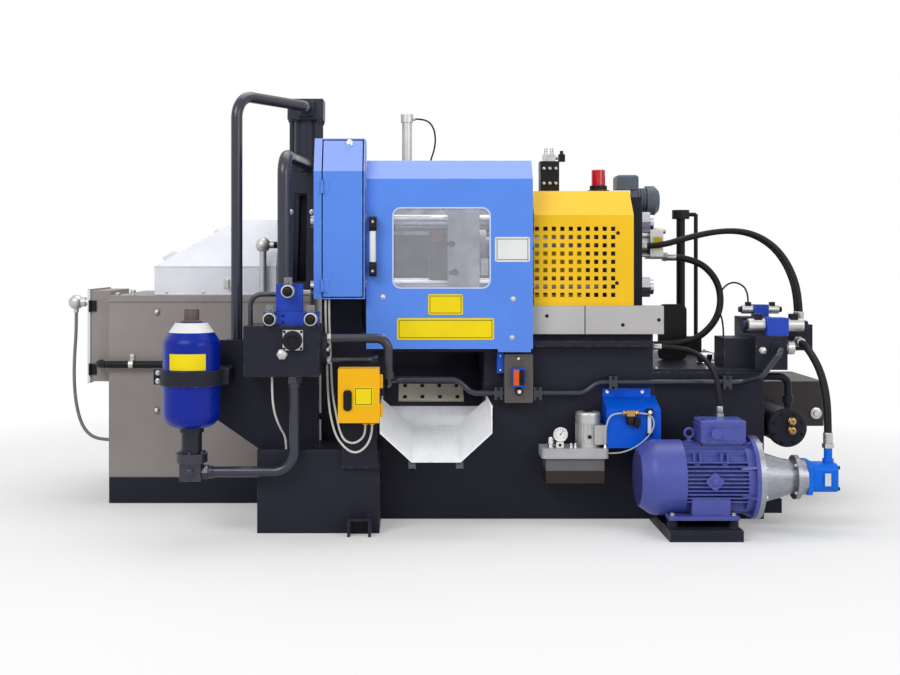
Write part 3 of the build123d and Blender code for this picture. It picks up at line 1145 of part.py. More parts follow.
# Junction box with its hinged door
BOX_HINGES = [Plane(origin=(BOX_RIGHT + HINGE_R + 1, BOX_RIM - GAP / 2, z), x_dir=(0, -1, 0), z_dir=(0, 0, -1))
              for z in (BOX_TOP - 20, BOX_BOTTOM + 20 + 3 * KNUCKLE)]
GLAND = 12
GLAND_Y = BOX_BACK - 40
BOX_GLANDS = (BOX_RIGHT - 27, BOX_RIGHT - 51)
with BuildPart() as junction_box:
    block(BOX_LEFT, BOX_RIGHT, BOX_RIM, BOX_BACK, BOX_BOTTOM, BOX_TOP)
    block(BOX_LEFT + BOX_WALL, BOX_RIGHT - BOX_WALL, BOX_RIM - 1, BOX_BACK - BOX_WALL, BOX_BOTTOM + BOX_WALL,
          BOX_TOP - BOX_WALL, Mode.SUBTRACT)
    for place in BOX_HINGES:
        hinge_half(place, True)
    for x in BOX_GLANDS:
        rod_z(x, GLAND_Y, GLAND_R, BOX_BOTTOM - GLAND, BOX_BOTTOM + 1)
finish("junction_box", junction_box.part)

with BuildPart() as junction_door:
    block(BOX_LEFT, BOX_RIGHT, BOX_RIM - GAP - BOX_DOOR, BOX_RIM - GAP, BOX_BOTTOM, BOX_TOP)
    for place in BOX_HINGES:
        hinge_half(place, False)
    block(BOX_RIGHT - 1, BOX_RIGHT + 20, BOX_RIM - 60, BOX_RIM - GAP - BOX_DOOR, BOX_BOTTOM - 1, BOX_TOP + 1,
          Mode.SUBTRACT)
finish("junction_door", junction_door.part)

# Switch box, lubrication set and spray box on the base front
with BuildPart() as switch_box:
    block(SWITCH_LEFT, SWITCH_RIGHT, BASE_FRONT - SWITCH_DEPTH, BASE_FRONT, SWITCH_BOTTOM,
          SWITCH_BOTTOM + SWITCH_HEIGHT)
    fillet(switch_box.edges().filter_by(Axis.Y), 6)
finish("switch_box", switch_box.part)

TRAY_FRONT = BASE_FRONT - TRAY_DEPTH
TRAY_TOP = TRAY_Z + TRAY_HEIGHT
with BuildPart() as lube_reservoir:
    block(TRAY_LEFT + CUP_INSET, TRAY_LEFT + TRAY_LENGTH - CUP_INSET, TRAY_FRONT + 10, BASE_FRONT,
          TRAY_Z - CUP_HEIGHT, TRAY_Z)
    block(TRAY_LEFT, TRAY_LEFT + TRAY_LENGTH, TRAY_FRONT, BASE_FRONT, TRAY_Z, TRAY_TOP)
    fillet(lube_reservoir.edges().filter_by(Axis.Z).group_by(Axis.Y)[0], 16)
finish("lube_reservoir", lube_reservoir.part)

LUBE_X = TRAY_LEFT + 179
LUBE_Y = TRAY_FRONT + 60
with BuildPart() as lube_motor:
    rod_z(LUBE_X, LUBE_Y, LUBE_MOTOR_R - 5, TRAY_TOP, TRAY_TOP + LUBE_MOTOR_HEIGHT)
    rod_z(LUBE_X, LUBE_Y, LUBE_MOTOR_R, TRAY_TOP, TRAY_TOP + 14)
    rod_z(LUBE_X, LUBE_Y, LUBE_MOTOR_R, TRAY_TOP + 92, TRAY_TOP + LUBE_MOTOR_HEIGHT)
    fillet(lube_motor.edges().filter_by(GeomType.CIRCLE).group_by(Axis.Z)[-1], 10)
    with BuildSketch(Plane.XY.offset(TRAY_TOP + 14)) as lube_fins:
        with Locations((LUBE_X, LUBE_Y)):
            with PolarLocations(LUBE_MOTOR_R - 4, 24):
                Rectangle(8, 3)
    extrude(lube_fins.sketch, amount=78)
    block(LUBE_X + 30, LUBE_X + 60, LUBE_Y - 25, LUBE_Y + 25, TRAY_TOP + 14, TRAY_TOP + 84)
finish("lube_motor", lube_motor.part)

TEE_X = SPRAY_LEFT + 85
TEE_Y = BASE_FRONT - SPRAY_DEPTH - 17
TEE_Z = SPRAY_BOTTOM + 132
TEE_ARM = 31
with BuildPart() as spray_box:
    front = BASE_FRONT - SPRAY_DEPTH
    top = SPRAY_BOTTOM + SPRAY_HEIGHT
    profile = [(BASE_FRONT, SPRAY_BOTTOM), (front, SPRAY_BOTTOM), (front, top - SPRAY_SLOPE), (BASE_FRONT, top)]
    prism_x(profile, SPRAY_LEFT, SPRAY_LEFT + SPRAY_WIDTH)
    block(SPRAY_LEFT, SPRAY_LEFT + SPRAY_WIDTH - 17, BASE_FRONT - 6, BASE_FRONT, top - 10, top + 28)
    rod_y(TEE_X, TEE_Z, 9, TEE_Y - 9, front)
    rod_x(TEE_Y, TEE_Z, 7, TEE_X - TEE_ARM, TEE_X + TEE_ARM)
finish("spray_box", spray_box.part)

# Corrugated conduit that clips hold along the furnace front
CONDUIT_Y = FURN_FRONT - 20
CONDUIT_Z = PANEL_BOX_Z + 76
with BuildPart() as furnace_conduit:
    tube([(PANEL_BOX_LEFT + 45, FURN_FRONT + 60, CONDUIT_Z), (PANEL_BOX_LEFT + 45, CONDUIT_Y, CONDUIT_Z),
          (PILLAR_LEFT - 150, CONDUIT_Y, CONDUIT_Z), (PILLAR_LEFT - 60, CONDUIT_Y - 70, CONDUIT_Z - 200),
          (BASE_LEFT, CONDUIT_Y - 70, CONDUIT_Z - 200)], 14, [40, 70, 90])
finish("furnace_conduit", furnace_conduit.part)

# Hoses and cables, each a plain round bar
PORT_Y0 = PORT_FRONT + 55
ARCH = [(REAR_RIGHT, -130, 1045), (REAR_RIGHT + 100, -130, 1045), (1000, -132, 1082), (1130, -140, 1110),
        (1240, -170, 1105), (1325, -225, 1050), (1372, -290, 960), (1388, PORT_Y0, 845),
        (1388, PORT_Y0, PORT_TOP)]
SOCKET_Z = TERMINAL_Z + TERMINAL_HEIGHT
plug_x = valve_x - (VALVE_WIDTH / 2 + 28) * SMALL_VALVE
plug_z = BLOCK_TOP + STEP_HEIGHT + 82 * SMALL_VALVE
boss_top = TANK_HEIGHT + BOSS_HEIGHT
air_x = SPRAY_X + SPRAY_R + 14
air_z = high_cap + 14
first_gland, second_gland = BOX_GLANDS
gland_z = BOX_BOTTOM - GLAND
HOSES = {
    "arch_hoses": [(12, ARCH), (12, [(x, y + 38, z) for x, y, z in ARCH])],
    "loop_hose": [
        (14, [(CAP_FACE, -40, 1003), (1039, -40, 1003), (1139, -75, 907), (1139, -110, 767), (1039, -145, 665),
              (915, -170, 645), (BASE_RIGHT, -170, 645)])],
    "return_hose": [
        (10, [(BASE_RIGHT, -428, 655), (880, -428, 655), (948, -490, 640), (985, -578, 600), (1000, -658, 530),
              (1000, -658, SOCKET_Z)])],
    "pump_hose": [
        (14, [(PUMP_PORT_X, AXIS_Y, PUMP_PORT_Z), (PUMP_PORT_X, AXIS_Y, 400), (1388, -675, 495),
              (1385, -615, 580), (1370, -540, 645), (1360, -470, 675), (1360, PORT_FRONT, 675)])],
    "signal_cables": [
        (4, [(-456, -585, HOUSING_BOTTOM), (-456, -585, 770), (-450, -622, 690), (-446, -650, 600),
             (-440, -690, 500), (-426, -742, 415), (-398, -780, 340), (-335, GLAND_Y, 290),
             (first_gland, GLAND_Y, 345), (first_gland, GLAND_Y, gland_z)]),
        (4, [(-443, -577, HOUSING_BOTTOM), (-443, -577, 770), (-437, -614, 690), (-432, -642, 600),
             (-424, -682, 500), (-406, -737, 428), (-392, -774, 376), (-376, GLAND_Y, 346), (-348, GLAND_Y, 334),
             (-320, GLAND_Y, 344), (second_gland, GLAND_Y, 370), (second_gland, GLAND_Y, gland_z)]),
        (4, [(-637, -760, MAN_BOTTOM), (-637, -760, 505), (-630, -750, 440), (-612, -730, 385),
             (-592, -700, 345), (-592, -700, PILLAR_TOP)])],
    "control_cables": [
        (7, [(PROBE_X, PROBE_Y, PROBE_Z - 44), (PROBE_X, PROBE_Y, 690), (-1546, -6, 590), (-1547, -10, 490),
             (-1540, -8, 390), (-1518, -4, 300), (-1480, 0, 250), (-1425, 0, 235), (FURN_LEFT + 5, 0, 235)]),
        (3.5, [(plug_x, small_y, plug_z), (plug_x, small_y, 873), (1160, -262, 905), (1115, -266, 890),
               (1090, -272, 845), (1088, -285, 790), (1100, -305, 740), (1100, -305, boss_top)]),
        (3.5, [(air_x, SPRAY_Y, air_z), (-78, SPRAY_Y, air_z), (-46, SPRAY_Y, 1530), (-36, SPRAY_Y, 1482),
               (-42, SPRAY_Y, 1432), (-60, SPRAY_Y, 1385), (-60, SPRAY_Y, arm_top)])],
    "lube_tubes": [
        (3, [(TEE_X - TEE_ARM, TEE_Y, TEE_Z), (622, TEE_Y, TEE_Z), (600, -606, 405), (590, -603, 370),
             (588, -596, 332), (588, -596, TRAY_TOP)]),
        (3, [(TEE_X + TEE_ARM, TEE_Y, TEE_Z), (745, TEE_Y, TEE_Z), (768, -607, 400), (768, -605, 365),
             (745, -602, 330), (712, -598, 300), (672, -590, 278), (637, -580, 268),
             (TRAY_LEFT + TRAY_LENGTH, -580, 268)])],
}
for hose_name, routes in HOSES.items():
    with BuildPart() as hose:
        for hose_radius, route in routes:
            radii = hose_bends(route)
            print(hose_name, "bends", [round(r) for r in radii])
            tube(route, hose_radius, radii)
    finish(hose_name, hose.part)
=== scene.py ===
"""Looks of the die casting machine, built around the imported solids, in metres."""
import math
from itertools import product

import bmesh
import bpy
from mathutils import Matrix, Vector


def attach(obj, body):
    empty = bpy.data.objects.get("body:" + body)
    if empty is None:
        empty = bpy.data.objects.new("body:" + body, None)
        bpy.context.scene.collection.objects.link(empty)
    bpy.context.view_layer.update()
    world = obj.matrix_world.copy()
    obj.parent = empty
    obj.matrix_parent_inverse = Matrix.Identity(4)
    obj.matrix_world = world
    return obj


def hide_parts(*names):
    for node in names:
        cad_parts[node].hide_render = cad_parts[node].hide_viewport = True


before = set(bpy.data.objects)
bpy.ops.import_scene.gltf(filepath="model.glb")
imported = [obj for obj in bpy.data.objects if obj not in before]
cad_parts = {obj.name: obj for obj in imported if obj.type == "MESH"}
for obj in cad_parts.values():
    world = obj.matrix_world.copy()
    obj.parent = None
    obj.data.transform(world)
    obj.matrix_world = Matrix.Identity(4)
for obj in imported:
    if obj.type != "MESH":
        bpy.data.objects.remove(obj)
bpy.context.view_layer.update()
MM = 0.001
LEFT, RIGHT, FRONT, BACK, UP, DOWN = (-1, 0, 0), (1, 0, 0), (0, -1, 0), (0, 1, 0), (0, 0, 1), (0, 0, -1)

# Faces and axes of the solids that carry pieces, in millimetres
FURNACE_TOP = 844
CONDUIT_Y, CONDUIT_Z = -180, 566
HOOD_FRONT, HOOD_LEFT, HOOD_RIGHT = -110, -1190, -690
PROBE_Z, HOOD_PROBE_Z = 813, 1051
BOTTLE_X, BOTTLE_Y = -924, -775
MANIFOLD_FRONT, MANIFOLD_RIGHT, MANIFOLD_Y = -800, -440, -720
PORT_X, PORT_Z = -558, 706
DOOR_FRONT = -560
HANDLE_X = -279
WINDOW_X, WINDOW_Z = -21.5, 1036.5
PLATEN_FRONT = -280
DIE_FRONT = -131
GUARD_FRONT, GUARD_BACK, GUARD_TOP = -490, 490, 1259
REAR_GUARD_BACK = 444
DISTRIBUTOR_Y, DISTRIBUTOR_FRONT = -150, -190
SILL_FRONT, SILL_BACK = -500, 500
BASE_FRONT, BASE_BACK = -470, 470
JUNCTION_FRONT, JUNCTION_PLATE_X, JUNCTION_PLATE_Z = -840, -304.5, 509
SWITCH_FRONT, SWITCH_Z = -540, 549
LUBE_TOP = 287
GAUGE_X, GAUGE_Z = 421, 341
TEE_Y, TEE_Z = -607, 421
LID_TOP = 574
VALVE_X, VALVE_HALF = 1257, 40
COOLER_X, COOLER_Z, COOLER_FRONT = 1307, 348, -470
MOTOR_Y, MOTOR_Z = -700, 200
TERMINAL_X, TERMINAL_TOP = 989, 414


# Materials
def rgb(r, g, b):
    """sRGB bytes as linear colour."""
    def lin(c):
        c /= 255
        return c / 12.92 if c <= 0.04045 else ((c + 0.055) / 1.055) ** 2.4
    return (lin(r), lin(g), lin(b), 1.0)


def blend_of(color, share):
    """A lighter (share > 0) or darker (share < 0) tone of a colour."""
    return tuple(min(c * (1 + share), 1.0) for c in color[:3]) + (1.0,)


def link(tree, a, b):
    tree.links.new(a, b)


def fill(node, values):
    """Sets inputs of a node by their labels."""
    for label, value in values.items():
        node.inputs[label].default_value = value


def ramp_of(tree, source, low, high, out_low, out_high):
    """Maps a value range onto another, clamped."""
    node = tree.nodes.new("ShaderNodeMapRange")
    fill(node, {"From Min": low, "From Max": high, "To Min": out_low, "To Max": out_high})
    link(tree, source, node.inputs["Value"])
    return node.outputs["Result"]


def math_of(tree, a, b, operation="MULTIPLY"):
    """Joins two values, as their product unless another operation is named."""
    node = tree.nodes.new("ShaderNodeMath")
    node.operation = operation
    link(tree, a, node.inputs[0])
    link(tree, b, node.inputs[1])
    return node.outputs[0]


def mix_of(tree, factor, a, b):
    """Mixes two colours, each a socket or a constant."""
    node = tree.nodes.new("ShaderNodeMix")
    node.data_type = "RGBA"
    link(tree, factor, node.inputs["Factor"])
    for socket, value in ((node.inputs[6], a), (node.inputs[7], b)):
        if isinstance(value, tuple):
            socket.default_value = value
        else:
            link(tree, value, socket)
    return node.outputs[2]


def noise_of(tree, coords, scale, detail=4.0, rough=0.55):
    """Noise between 0 and 1; a larger scale makes smaller patches."""
    node = tree.nodes.new("ShaderNodeTexNoise")
    fill(node, {"Scale": scale, "Detail": detail, "Roughness": rough})
    link(tree, coords, node.inputs["Vector"])
    return node.outputs["Fac"]


LEVEL_BLUR, WEAR_WIDTH, GRAIN_DEPTH = 0.002, 0.004, 0.002


def surface(name, color, rough=0.42, metal=0.0, tone=0.10, patch=5.0, grain=350.0, bump=0.05, wear=None,
            streak=None, coat=0.0, alpha=1.0, transmission=0.0, shine=0.18, top_sheen=None, levels=()):
    """Procedural finish: blotchy tone, fine grain in the bump, uneven gloss and rubbed edges.

    levels are (height, colour) bands that take over below a height; faces that look up are mixed toward a
    lighter colour, a painted highlight that stands in for the sheen of the light from above.
    """
    material = bpy.data.materials.new(name)
    material.use_nodes = True
    tree = material.node_tree
    shader = tree.nodes["Principled BSDF"]
    coords = tree.nodes.new("ShaderNodeTexCoord").outputs["Object"]
    source = coords
    if streak:
        mapping = tree.nodes.new("ShaderNodeMapping")
        mapping.inputs["Scale"].default_value = streak
        link(tree, coords, mapping.inputs["Vector"])
        source = mapping.outputs["Vector"]
    patches = noise_of(tree, source, patch)
    grains = noise_of(tree, source, grain, 2.0)
    shade = ramp_of(tree, patches, 0.3, 0.7, 0.0, 1.0)
    base = mix_of(tree, shade, blend_of(color, -tone), blend_of(color, tone * 0.6))
    if levels:
        split = tree.nodes.new("ShaderNodeSeparateXYZ")
        link(tree, coords, split.inputs[0])
        for height, below in levels:
            band = mix_of(tree, shade, blend_of(below, -tone), blend_of(below, tone * 0.6))
            under = ramp_of(tree, split.outputs["Z"], height, height + LEVEL_BLUR, 1.0, 0.0)
            base = mix_of(tree, under, base, band)
    # Painted highlight: faces that look up are mixed toward a lighter colour, standing in for the sheen of
    # the light from above.
    if top_sheen:
        facing = tree.nodes.new("ShaderNodeSeparateXYZ")
        link(tree, tree.nodes.new("ShaderNodeNewGeometry").outputs["Normal"], facing.inputs[0])
        base = mix_of(tree, ramp_of(tree, facing.outputs["Z"], 0.15, 0.42, 0.0, 1.0), base, top_sheen)
    if wear:
        bevel = tree.nodes.new("ShaderNodeBevel")
        bevel.samples = 3
        bevel.inputs["Radius"].default_value = WEAR_WIDTH
        normal = tree.nodes.new("ShaderNodeNewGeometry").outputs["Normal"]
        dot = tree.nodes.new("ShaderNodeVectorMath")
        dot.operation = "DOT_PRODUCT"
        link(tree, bevel.outputs["Normal"], dot.inputs[0])
        link(tree, normal, dot.inputs[1])
        edge = ramp_of(tree, dot.outputs["Value"], 0.985, 0.86, 0.0, 1.0)
        chips = ramp_of(tree, noise_of(tree, coords, 55.0, 6.0, 0.7), 0.47, 0.62, 0.0, 0.7)
        base = mix_of(tree, math_of(tree, edge, chips), base, wear)
    link(tree, base, shader.inputs["Base Color"])
    link(tree, ramp_of(tree, patches, 0.25, 0.75, max(rough - 0.08, 0.04), min(rough + 0.10, 1.0)),
         shader.inputs["Roughness"])
    lump = tree.nodes.new("ShaderNodeBump")
    fill(lump, {"Strength": bump, "Distance": GRAIN_DEPTH})
    link(tree, grains, lump.inputs["Height"])
    link(tree, lump.outputs["Normal"], shader.inputs["Normal"])
    fill(shader, {"Metallic": metal, "Specular IOR Level": shine, "Coat Weight": coat, "Alpha": alpha,
                  "Transmission Weight": transmission})
    return material


STEEL_WEAR, GREY_WEAR, PALE_WEAR = rgb(132, 134, 142), rgb(120, 120, 122), rgb(150, 150, 150)
M = {
    "anthracite": surface("anthracite_paint", rgb(38, 38, 50), 0.44, shine=0.12, wear=STEEL_WEAR),
    "frame_dark": surface("frame_dark_paint", rgb(48, 50, 64), 0.42, shine=0.22, wear=STEEL_WEAR),
    "pipe_dark": surface("pipe_dark_paint", rgb(42, 44, 58), 0.22, patch=9.0, shine=0.5, wear=STEEL_WEAR),
    # The lighter blue on faces that look up is a painted highlight, the sheen of the light from above.
    "guard_blue": surface("guard_blue_paint", rgb(90, 138, 230), 0.38, tone=0.05, top_sheen=rgb(142, 167, 238),
                          wear=rgb(190, 205, 230)),
    "guard_yellow": surface("guard_yellow_paint", rgb(242, 192, 34), 0.38, tone=0.05,
                            wear=rgb(205, 190, 150)),
    "box_yellow": surface("box_yellow_paint", rgb(240, 178, 16), 0.36, tone=0.05, wear=rgb(215, 190, 140)),
    "sill": surface("sill_paint", rgb(186, 183, 182), 0.42, tone=0.06, wear=GREY_WEAR),
    "furnace": surface("furnace_paint", rgb(150, 143, 140), 0.48, patch=3.0, wear=rgb(90, 85, 82)),
    "hood": surface("hood_sheet", rgb(230, 231, 238), 0.38, metal=0.15, patch=6.0, grain=120.0,
                    bump=0.08, wear=PALE_WEAR),
    "steel": surface("ground_steel", rgb(190, 191, 196), 0.26, metal=1.0, grain=500.0,
                     streak=(1, 14, 14)),
    "chrome": surface("chromed_steel", rgb(222, 223, 228), 0.12, metal=1.0, tone=0.06, grain=250.0,
                      bump=0.02),
    "zinc": surface("zinc_plate", rgb(190, 190, 188), 0.34, metal=0.9, tone=0.15, patch=30.0),
    "brass": surface("brass", rgb(182, 150, 94), 0.28, metal=1.0, tone=0.14, patch=25.0),
    "aluminium": surface("cast_aluminium", rgb(194, 194, 192), 0.40, metal=0.75, tone=0.12, patch=16.0,
                         grain=220.0, bump=0.12),
    "bell": surface("bell_aluminium", rgb(158, 160, 168), 0.34, metal=0.85, tone=0.14, patch=20.0,
                    streak=(1, 6, 6)),
    "platen_grey": surface("platen_paint", rgb(214, 215, 218), 0.44, metal=0.1, tone=0.34, patch=16.0,
                           bump=0.15, wear=GREY_WEAR),
    "die": surface("die_steel", rgb(84, 80, 78), 0.44, metal=0.6, tone=0.45, patch=22.0, bump=0.2,
                   wear=rgb(150, 148, 146)),
    "die_worn": surface("die_heat_tint", rgb(150, 96, 60), 0.40, metal=0.5, tone=0.4, patch=30.0),
    "bottle": surface("bottle_enamel", rgb(2, 32, 144), 0.22, tone=0.08, shine=0.22, wear=rgb(60, 80, 150),
                      levels=((0.394, rgb(38, 38, 50)),)),
    "motor": surface("motor_paint", rgb(74, 82, 160), 0.36, tone=0.12, patch=10.0, grain=260.0, bump=0.09,
                     shine=0.34, wear=rgb(150, 150, 175)),
    "motor_dark": surface("motor_grille_paint", rgb(40, 42, 92), 0.44, tone=0.12, patch=18.0),
    "pump": surface("pump_paint", rgb(0, 104, 220), 0.34, patch=12.0, wear=rgb(120, 150, 190)),
    "spray": surface("spray_paint", rgb(0, 88, 212), 0.36, tone=0.07, wear=rgb(120, 150, 200)),
    "valve": surface("valve_paint", rgb(38, 70, 178), 0.36, patch=18.0, wear=rgb(130, 135, 160)),
    "gear_grey": surface("gear_paint", rgb(88, 98, 110), 0.44, tone=0.12, patch=12.0, wear=PALE_WEAR),
    "switch": surface("switch_paint", rgb(92, 86, 84), 0.44, wear=rgb(150, 146, 140)),
    "return": surface("return_paint", rgb(62, 55, 56), 0.46, tone=0.12, patch=4.0, wear=rgb(150, 140, 130)),
    "chute": surface("chute_paint", rgb(250, 251, 252), 0.34, tone=0.06, streak=(6, 1, 1),
                     wear=GREY_WEAR),
    "cream": surface("cream_plate", rgb(222, 214, 190), 0.42, patch=9.0, wear=rgb(130, 125, 115)),
    "beacon": surface("beacon_lens", rgb(200, 20, 30), 0.14, patch=40.0, coat=0.5,
                      transmission=0.2),
    "reservoir": surface("reservoir_plastic", rgb(178, 179, 180), 0.36, tone=0.08, patch=14.0,
                         levels=((0.2495, rgb(104, 103, 104)), (0.203, rgb(50, 44, 41)))),
    "pane": surface("pane_clear", rgb(214, 216, 224), 0.10, tone=0.05, patch=7.0, bump=0.01, alpha=0.20),
    "liner": surface("guard_liner_sheet", rgb(176, 176, 182), 0.5, tone=0.55, patch=18.0, bump=0.2,
                     levels=((1.10, rgb(74, 74, 86)),)),
    "black": surface("black_plastic", rgb(23, 23, 26), 0.40, tone=0.20, patch=20.0, bump=0.07),
    "rubber": surface("hose_rubber", rgb(25, 25, 28), 0.50, tone=0.22, patch=60.0, grain=900.0, bump=0.15),
    "cable": surface("cable_sheath", rgb(206, 206, 202), 0.45, patch=60.0, grain=700.0, bump=0.1),
    "conduit": surface("conduit_grey", rgb(128, 130, 134), 0.45, tone=0.15, patch=60.0, grain=700.0,
                       bump=0.2),
    "white": surface("white_enamel", rgb(226, 227, 226), 0.34, tone=0.05, patch=14.0),
    "edge_light": surface("edge_paint", rgb(196, 210, 238), 0.34, tone=0.05, patch=14.0),
    "label_yellow": surface("plate_yellow", rgb(240, 214, 20), 0.34, tone=0.05, patch=9.0),
    "label_silver": surface("plate_silver", rgb(206, 208, 212), 0.28, metal=0.5, tone=0.06,
                            streak=(1, 10, 10)),
    "blue_plastic": surface("blue_plastic", rgb(26, 86, 190), 0.36, tone=0.08, patch=20.0),
    "orange_plastic": surface("orange_plastic", rgb(226, 92, 26), 0.36, tone=0.08, patch=20.0),
    "clear_tube": surface("clear_tube", rgb(206, 214, 216), 0.14, tone=0.06, patch=40.0, transmission=0.3),
    "dial": surface("dial_face", rgb(236, 236, 232), 0.22, tone=0.03, patch=30.0, coat=0.6),
}

NODE_FINISH = {
    "anthracite": ["machine_base", "front_pillar", "hydraulic_tank", "tank_lid", "motor_base", "fixed_platen",
                   "rear_platen", "furnace_base", "injection_manifold", "valve_block", "oil_cooler"],
    "frame_dark": ["injection_frame", "injection_cylinder"],
    "pipe_dark": ["injection_tubes", "accumulator_pipe", "pressure_pipe"],
    "guard_blue": ["guard_housing", "housing_door", "guard_door", "rear_guard"],
    "guard_yellow": ["toggle_guard", "toggle_cover"],
    "box_yellow": ["junction_box", "junction_door"],
    "sill": ["sill_panels"],
    "furnace": ["furnace_body", "control_box"],
    "hood": ["furnace_hood"],
    "steel": ["tie_bars"],
    "platen_grey": ["moving_platen"],
    "bottle": ["accumulator"],
    "motor": ["pump_motor", "terminal_box"],
    "pump": ["gear_pump"],
    "spray": ["spray_box"],
    "valve": ["directional_valves", "injection_valves"],
    "aluminium": ["lube_motor", "thermocouples", "spray_cylinder", "clamp_cylinder"],
    "bell": ["bell_housing"],
    "gear_grey": ["gear_motor"],
    "switch": ["switch_box"],
    "return": ["return_box"],
    "chute": ["parts_chute"],
    "beacon": ["beacon"],
    "reservoir": ["lube_reservoir"],
    "pane": ["door_window"],
    "black": ["door_handle", "rear_cylinder", "oil_distributor", "furnace_conduit"],
}
for finish, nodes in NODE_FINISH.items():
    for node in nodes:
        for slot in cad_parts[node].material_slots:
            slot.material = M[finish]


# Mesh helpers: all take millimetres
def ring_points(centre, axis, radius, count):
    """Even points on a circle around an axis, in metres."""
    axis = Vector(axis).normalized()
    side = axis.orthogonal().normalized()
    if abs(axis.z) < 0.9:
        side = Vector(UP).cross(axis).normalized()
    up = axis.cross(side)
    turns = (2 * math.pi * k / count for k in range(count))
    return [(Vector(centre) + (side * math.cos(a) + up * math.sin(a)) * radius) * MM for a in turns]


def lathe(bm, start, axis, profile, count=32):
    """Turned form: profile gives (distance along the axis, radius) from end to end, closed at both ends."""
    axis = Vector(axis).normalized()
    rings = []
    for along, radius in profile:
        centre = Vector(start) + axis * along
        rings.append([bm.verts.new(p) for p in ring_points(centre, axis, max(radius, 0.05), count)])
    for a, b in zip(rings, rings[1:]):
        for k in range(count):
            bm.faces.new((a[k], a[(k + 1) % count], b[(k + 1) % count], b[k]))
    bm.faces.new(rings[0][::-1])
    bm.faces.new(rings[-1])


def rod(bm, start, end, radius, count=24, soft=1.0):
    """Round bar between two points with slightly broken edges."""
    line = Vector(end) - Vector(start)
    length = line.length
    soft = min(soft, radius * 0.4, length * 0.3)
    end_radius = radius - soft
    profile = [(0, end_radius), (soft, radius), (length - soft, radius), (length, end_radius)]
    lathe(bm, start, line, profile, count)


def cuboid(bm, low, high):
    """Block between two corners, whose edges the piece's bevel breaks."""
    corners = [bm.verts.new(Vector((x, y, z)) * MM) for x in (low[0], high[0]) for y in (low[1], high[1])
               for z in (low[2], high[2])]
    for face in ((0, 1, 3, 2), (4, 6, 7, 5), (0, 4, 5, 1), (2, 3, 7, 6), (0, 2, 6, 4), (1, 5, 7, 3)):
        bm.faces.new([corners[k] for k in face])


def bolt(bm, place, axis, radius, height):
    """Hexagon head on a washer."""
    washer = radius * 1.45
    lathe(bm, place, axis, [(0, washer), (radius * 0.18, washer), (radius * 0.22, radius * 1.38)], 24)
    base = radius * 0.2
    top = base + height
    lathe(bm, place, axis, [(base, radius), (top - height * 0.15, radius), (top, radius * 0.82)], 6)


def hex_nut(bm, place, axis, radius, height=10, lip=3):
    """Plain nut with its rim turned off."""
    lathe(bm, place, axis, [(0, radius), (height, radius), (height + 2, radius - lip)], 6)


def cap_screw(bm, place, axis, radius, height):
    """Round socket head with its hexagon recess."""
    lathe(bm, place, axis, [(0, radius), (height * 0.85, radius), (height, radius * 0.88),
                            (height, radius * 0.55), (height * 0.5, radius * 0.5)], 24)


def button(bm, place, axis, radius, height):
    """Low domed rivet or button head."""
    lathe(bm, place, axis, [(0, radius), (height * 0.5, radius * 0.88), (height * 0.85, radius * 0.6),
                            (height, radius * 0.25)], 18)


def torus(bm, centre, axis, big, small, count=36, around=12):
    """Ring of a round section."""
    axis = Vector(axis).normalized()
    rings = []
    for spoke in ring_points((0, 0, 0), axis, big, count):
        middle = Vector(centre) * MM + spoke
        out = spoke.normalized()
        rings.append([bm.verts.new(middle + (out * math.cos(t) + axis * math.sin(t)) * small * MM)
                      for t in (2 * math.pi * k / around for k in range(around))])
    for k in range(count):
        a, b = rings[k], rings[(k + 1) % count]
        for j in range(around):
            bm.faces.new((a[j], b[j], b[(j + 1) % around], a[(j + 1) % around]))


def rounded(bm, centre, u, v, width, height, radius, thick, steps=5):
    """Plate with round corners, standing on its centre plane and rising along u x v."""
    u, v = Vector(u).normalized(), Vector(v).normalized()
    n = u.cross(v)
    outline = []
    for sx, sy, first in ((1, 1, 0), (-1, 1, 90), (-1, -1, 180), (1, -1, 270)):
        for k in range(steps + 1):
            a = math.radians(first + 90 * k / steps)
            outline.append(u * (sx * (width / 2 - radius) + radius * math.cos(a))
                           + v * (sy * (height / 2 - radius) + radius * math.sin(a)))
    low = [bm.verts.new((Vector(centre) + p) * MM) for p in outline]
    high = [bm.verts.new((Vector(centre) + p + n * thick) * MM) for p in outline]
    bm.faces.new(low[::-1])
    bm.faces.new(high)
    count = len(low)
    for k in range(count):
        bm.faces.new((low[k], low[(k + 1) % count], high[(k + 1) % count], high[k]))


def front_plate(bm, x, y, z, width, height, radius, thick):
    """Round-cornered plate on a face that looks to the front."""
    rounded(bm, (x, y, z), RIGHT, UP, width, height, radius, thick)


def border(bm, x, y, z, width, height, line=2.2):
    """Thin printed frame on a plate that looks to the front."""
    w, h, face = width / 2, height / 2, y - 0.4
    cuboid(bm, (x - w, face, z - h), (x + w, y, z - h + line))
    cuboid(bm, (x - w, face, z + h - line), (x + w, y, z + h))
    cuboid(bm, (x - w, face, z - h + line), (x - w + line, y, z + h - line))
    cuboid(bm, (x + w - line, face, z - h + line), (x + w, y, z + h - line))


def circle(count, radius, first=0.0):
    """Even places on a circle, as pairs."""
    turns = (math.radians(first + 360 * k / count) for k in range(count))
    return [(radius * math.cos(a), radius * math.sin(a)) for a in turns]


def added(name, data):
    """A new object in the scene."""
    obj = bpy.data.objects.new(name, data)
    bpy.context.collection.objects.link(obj)
    return obj


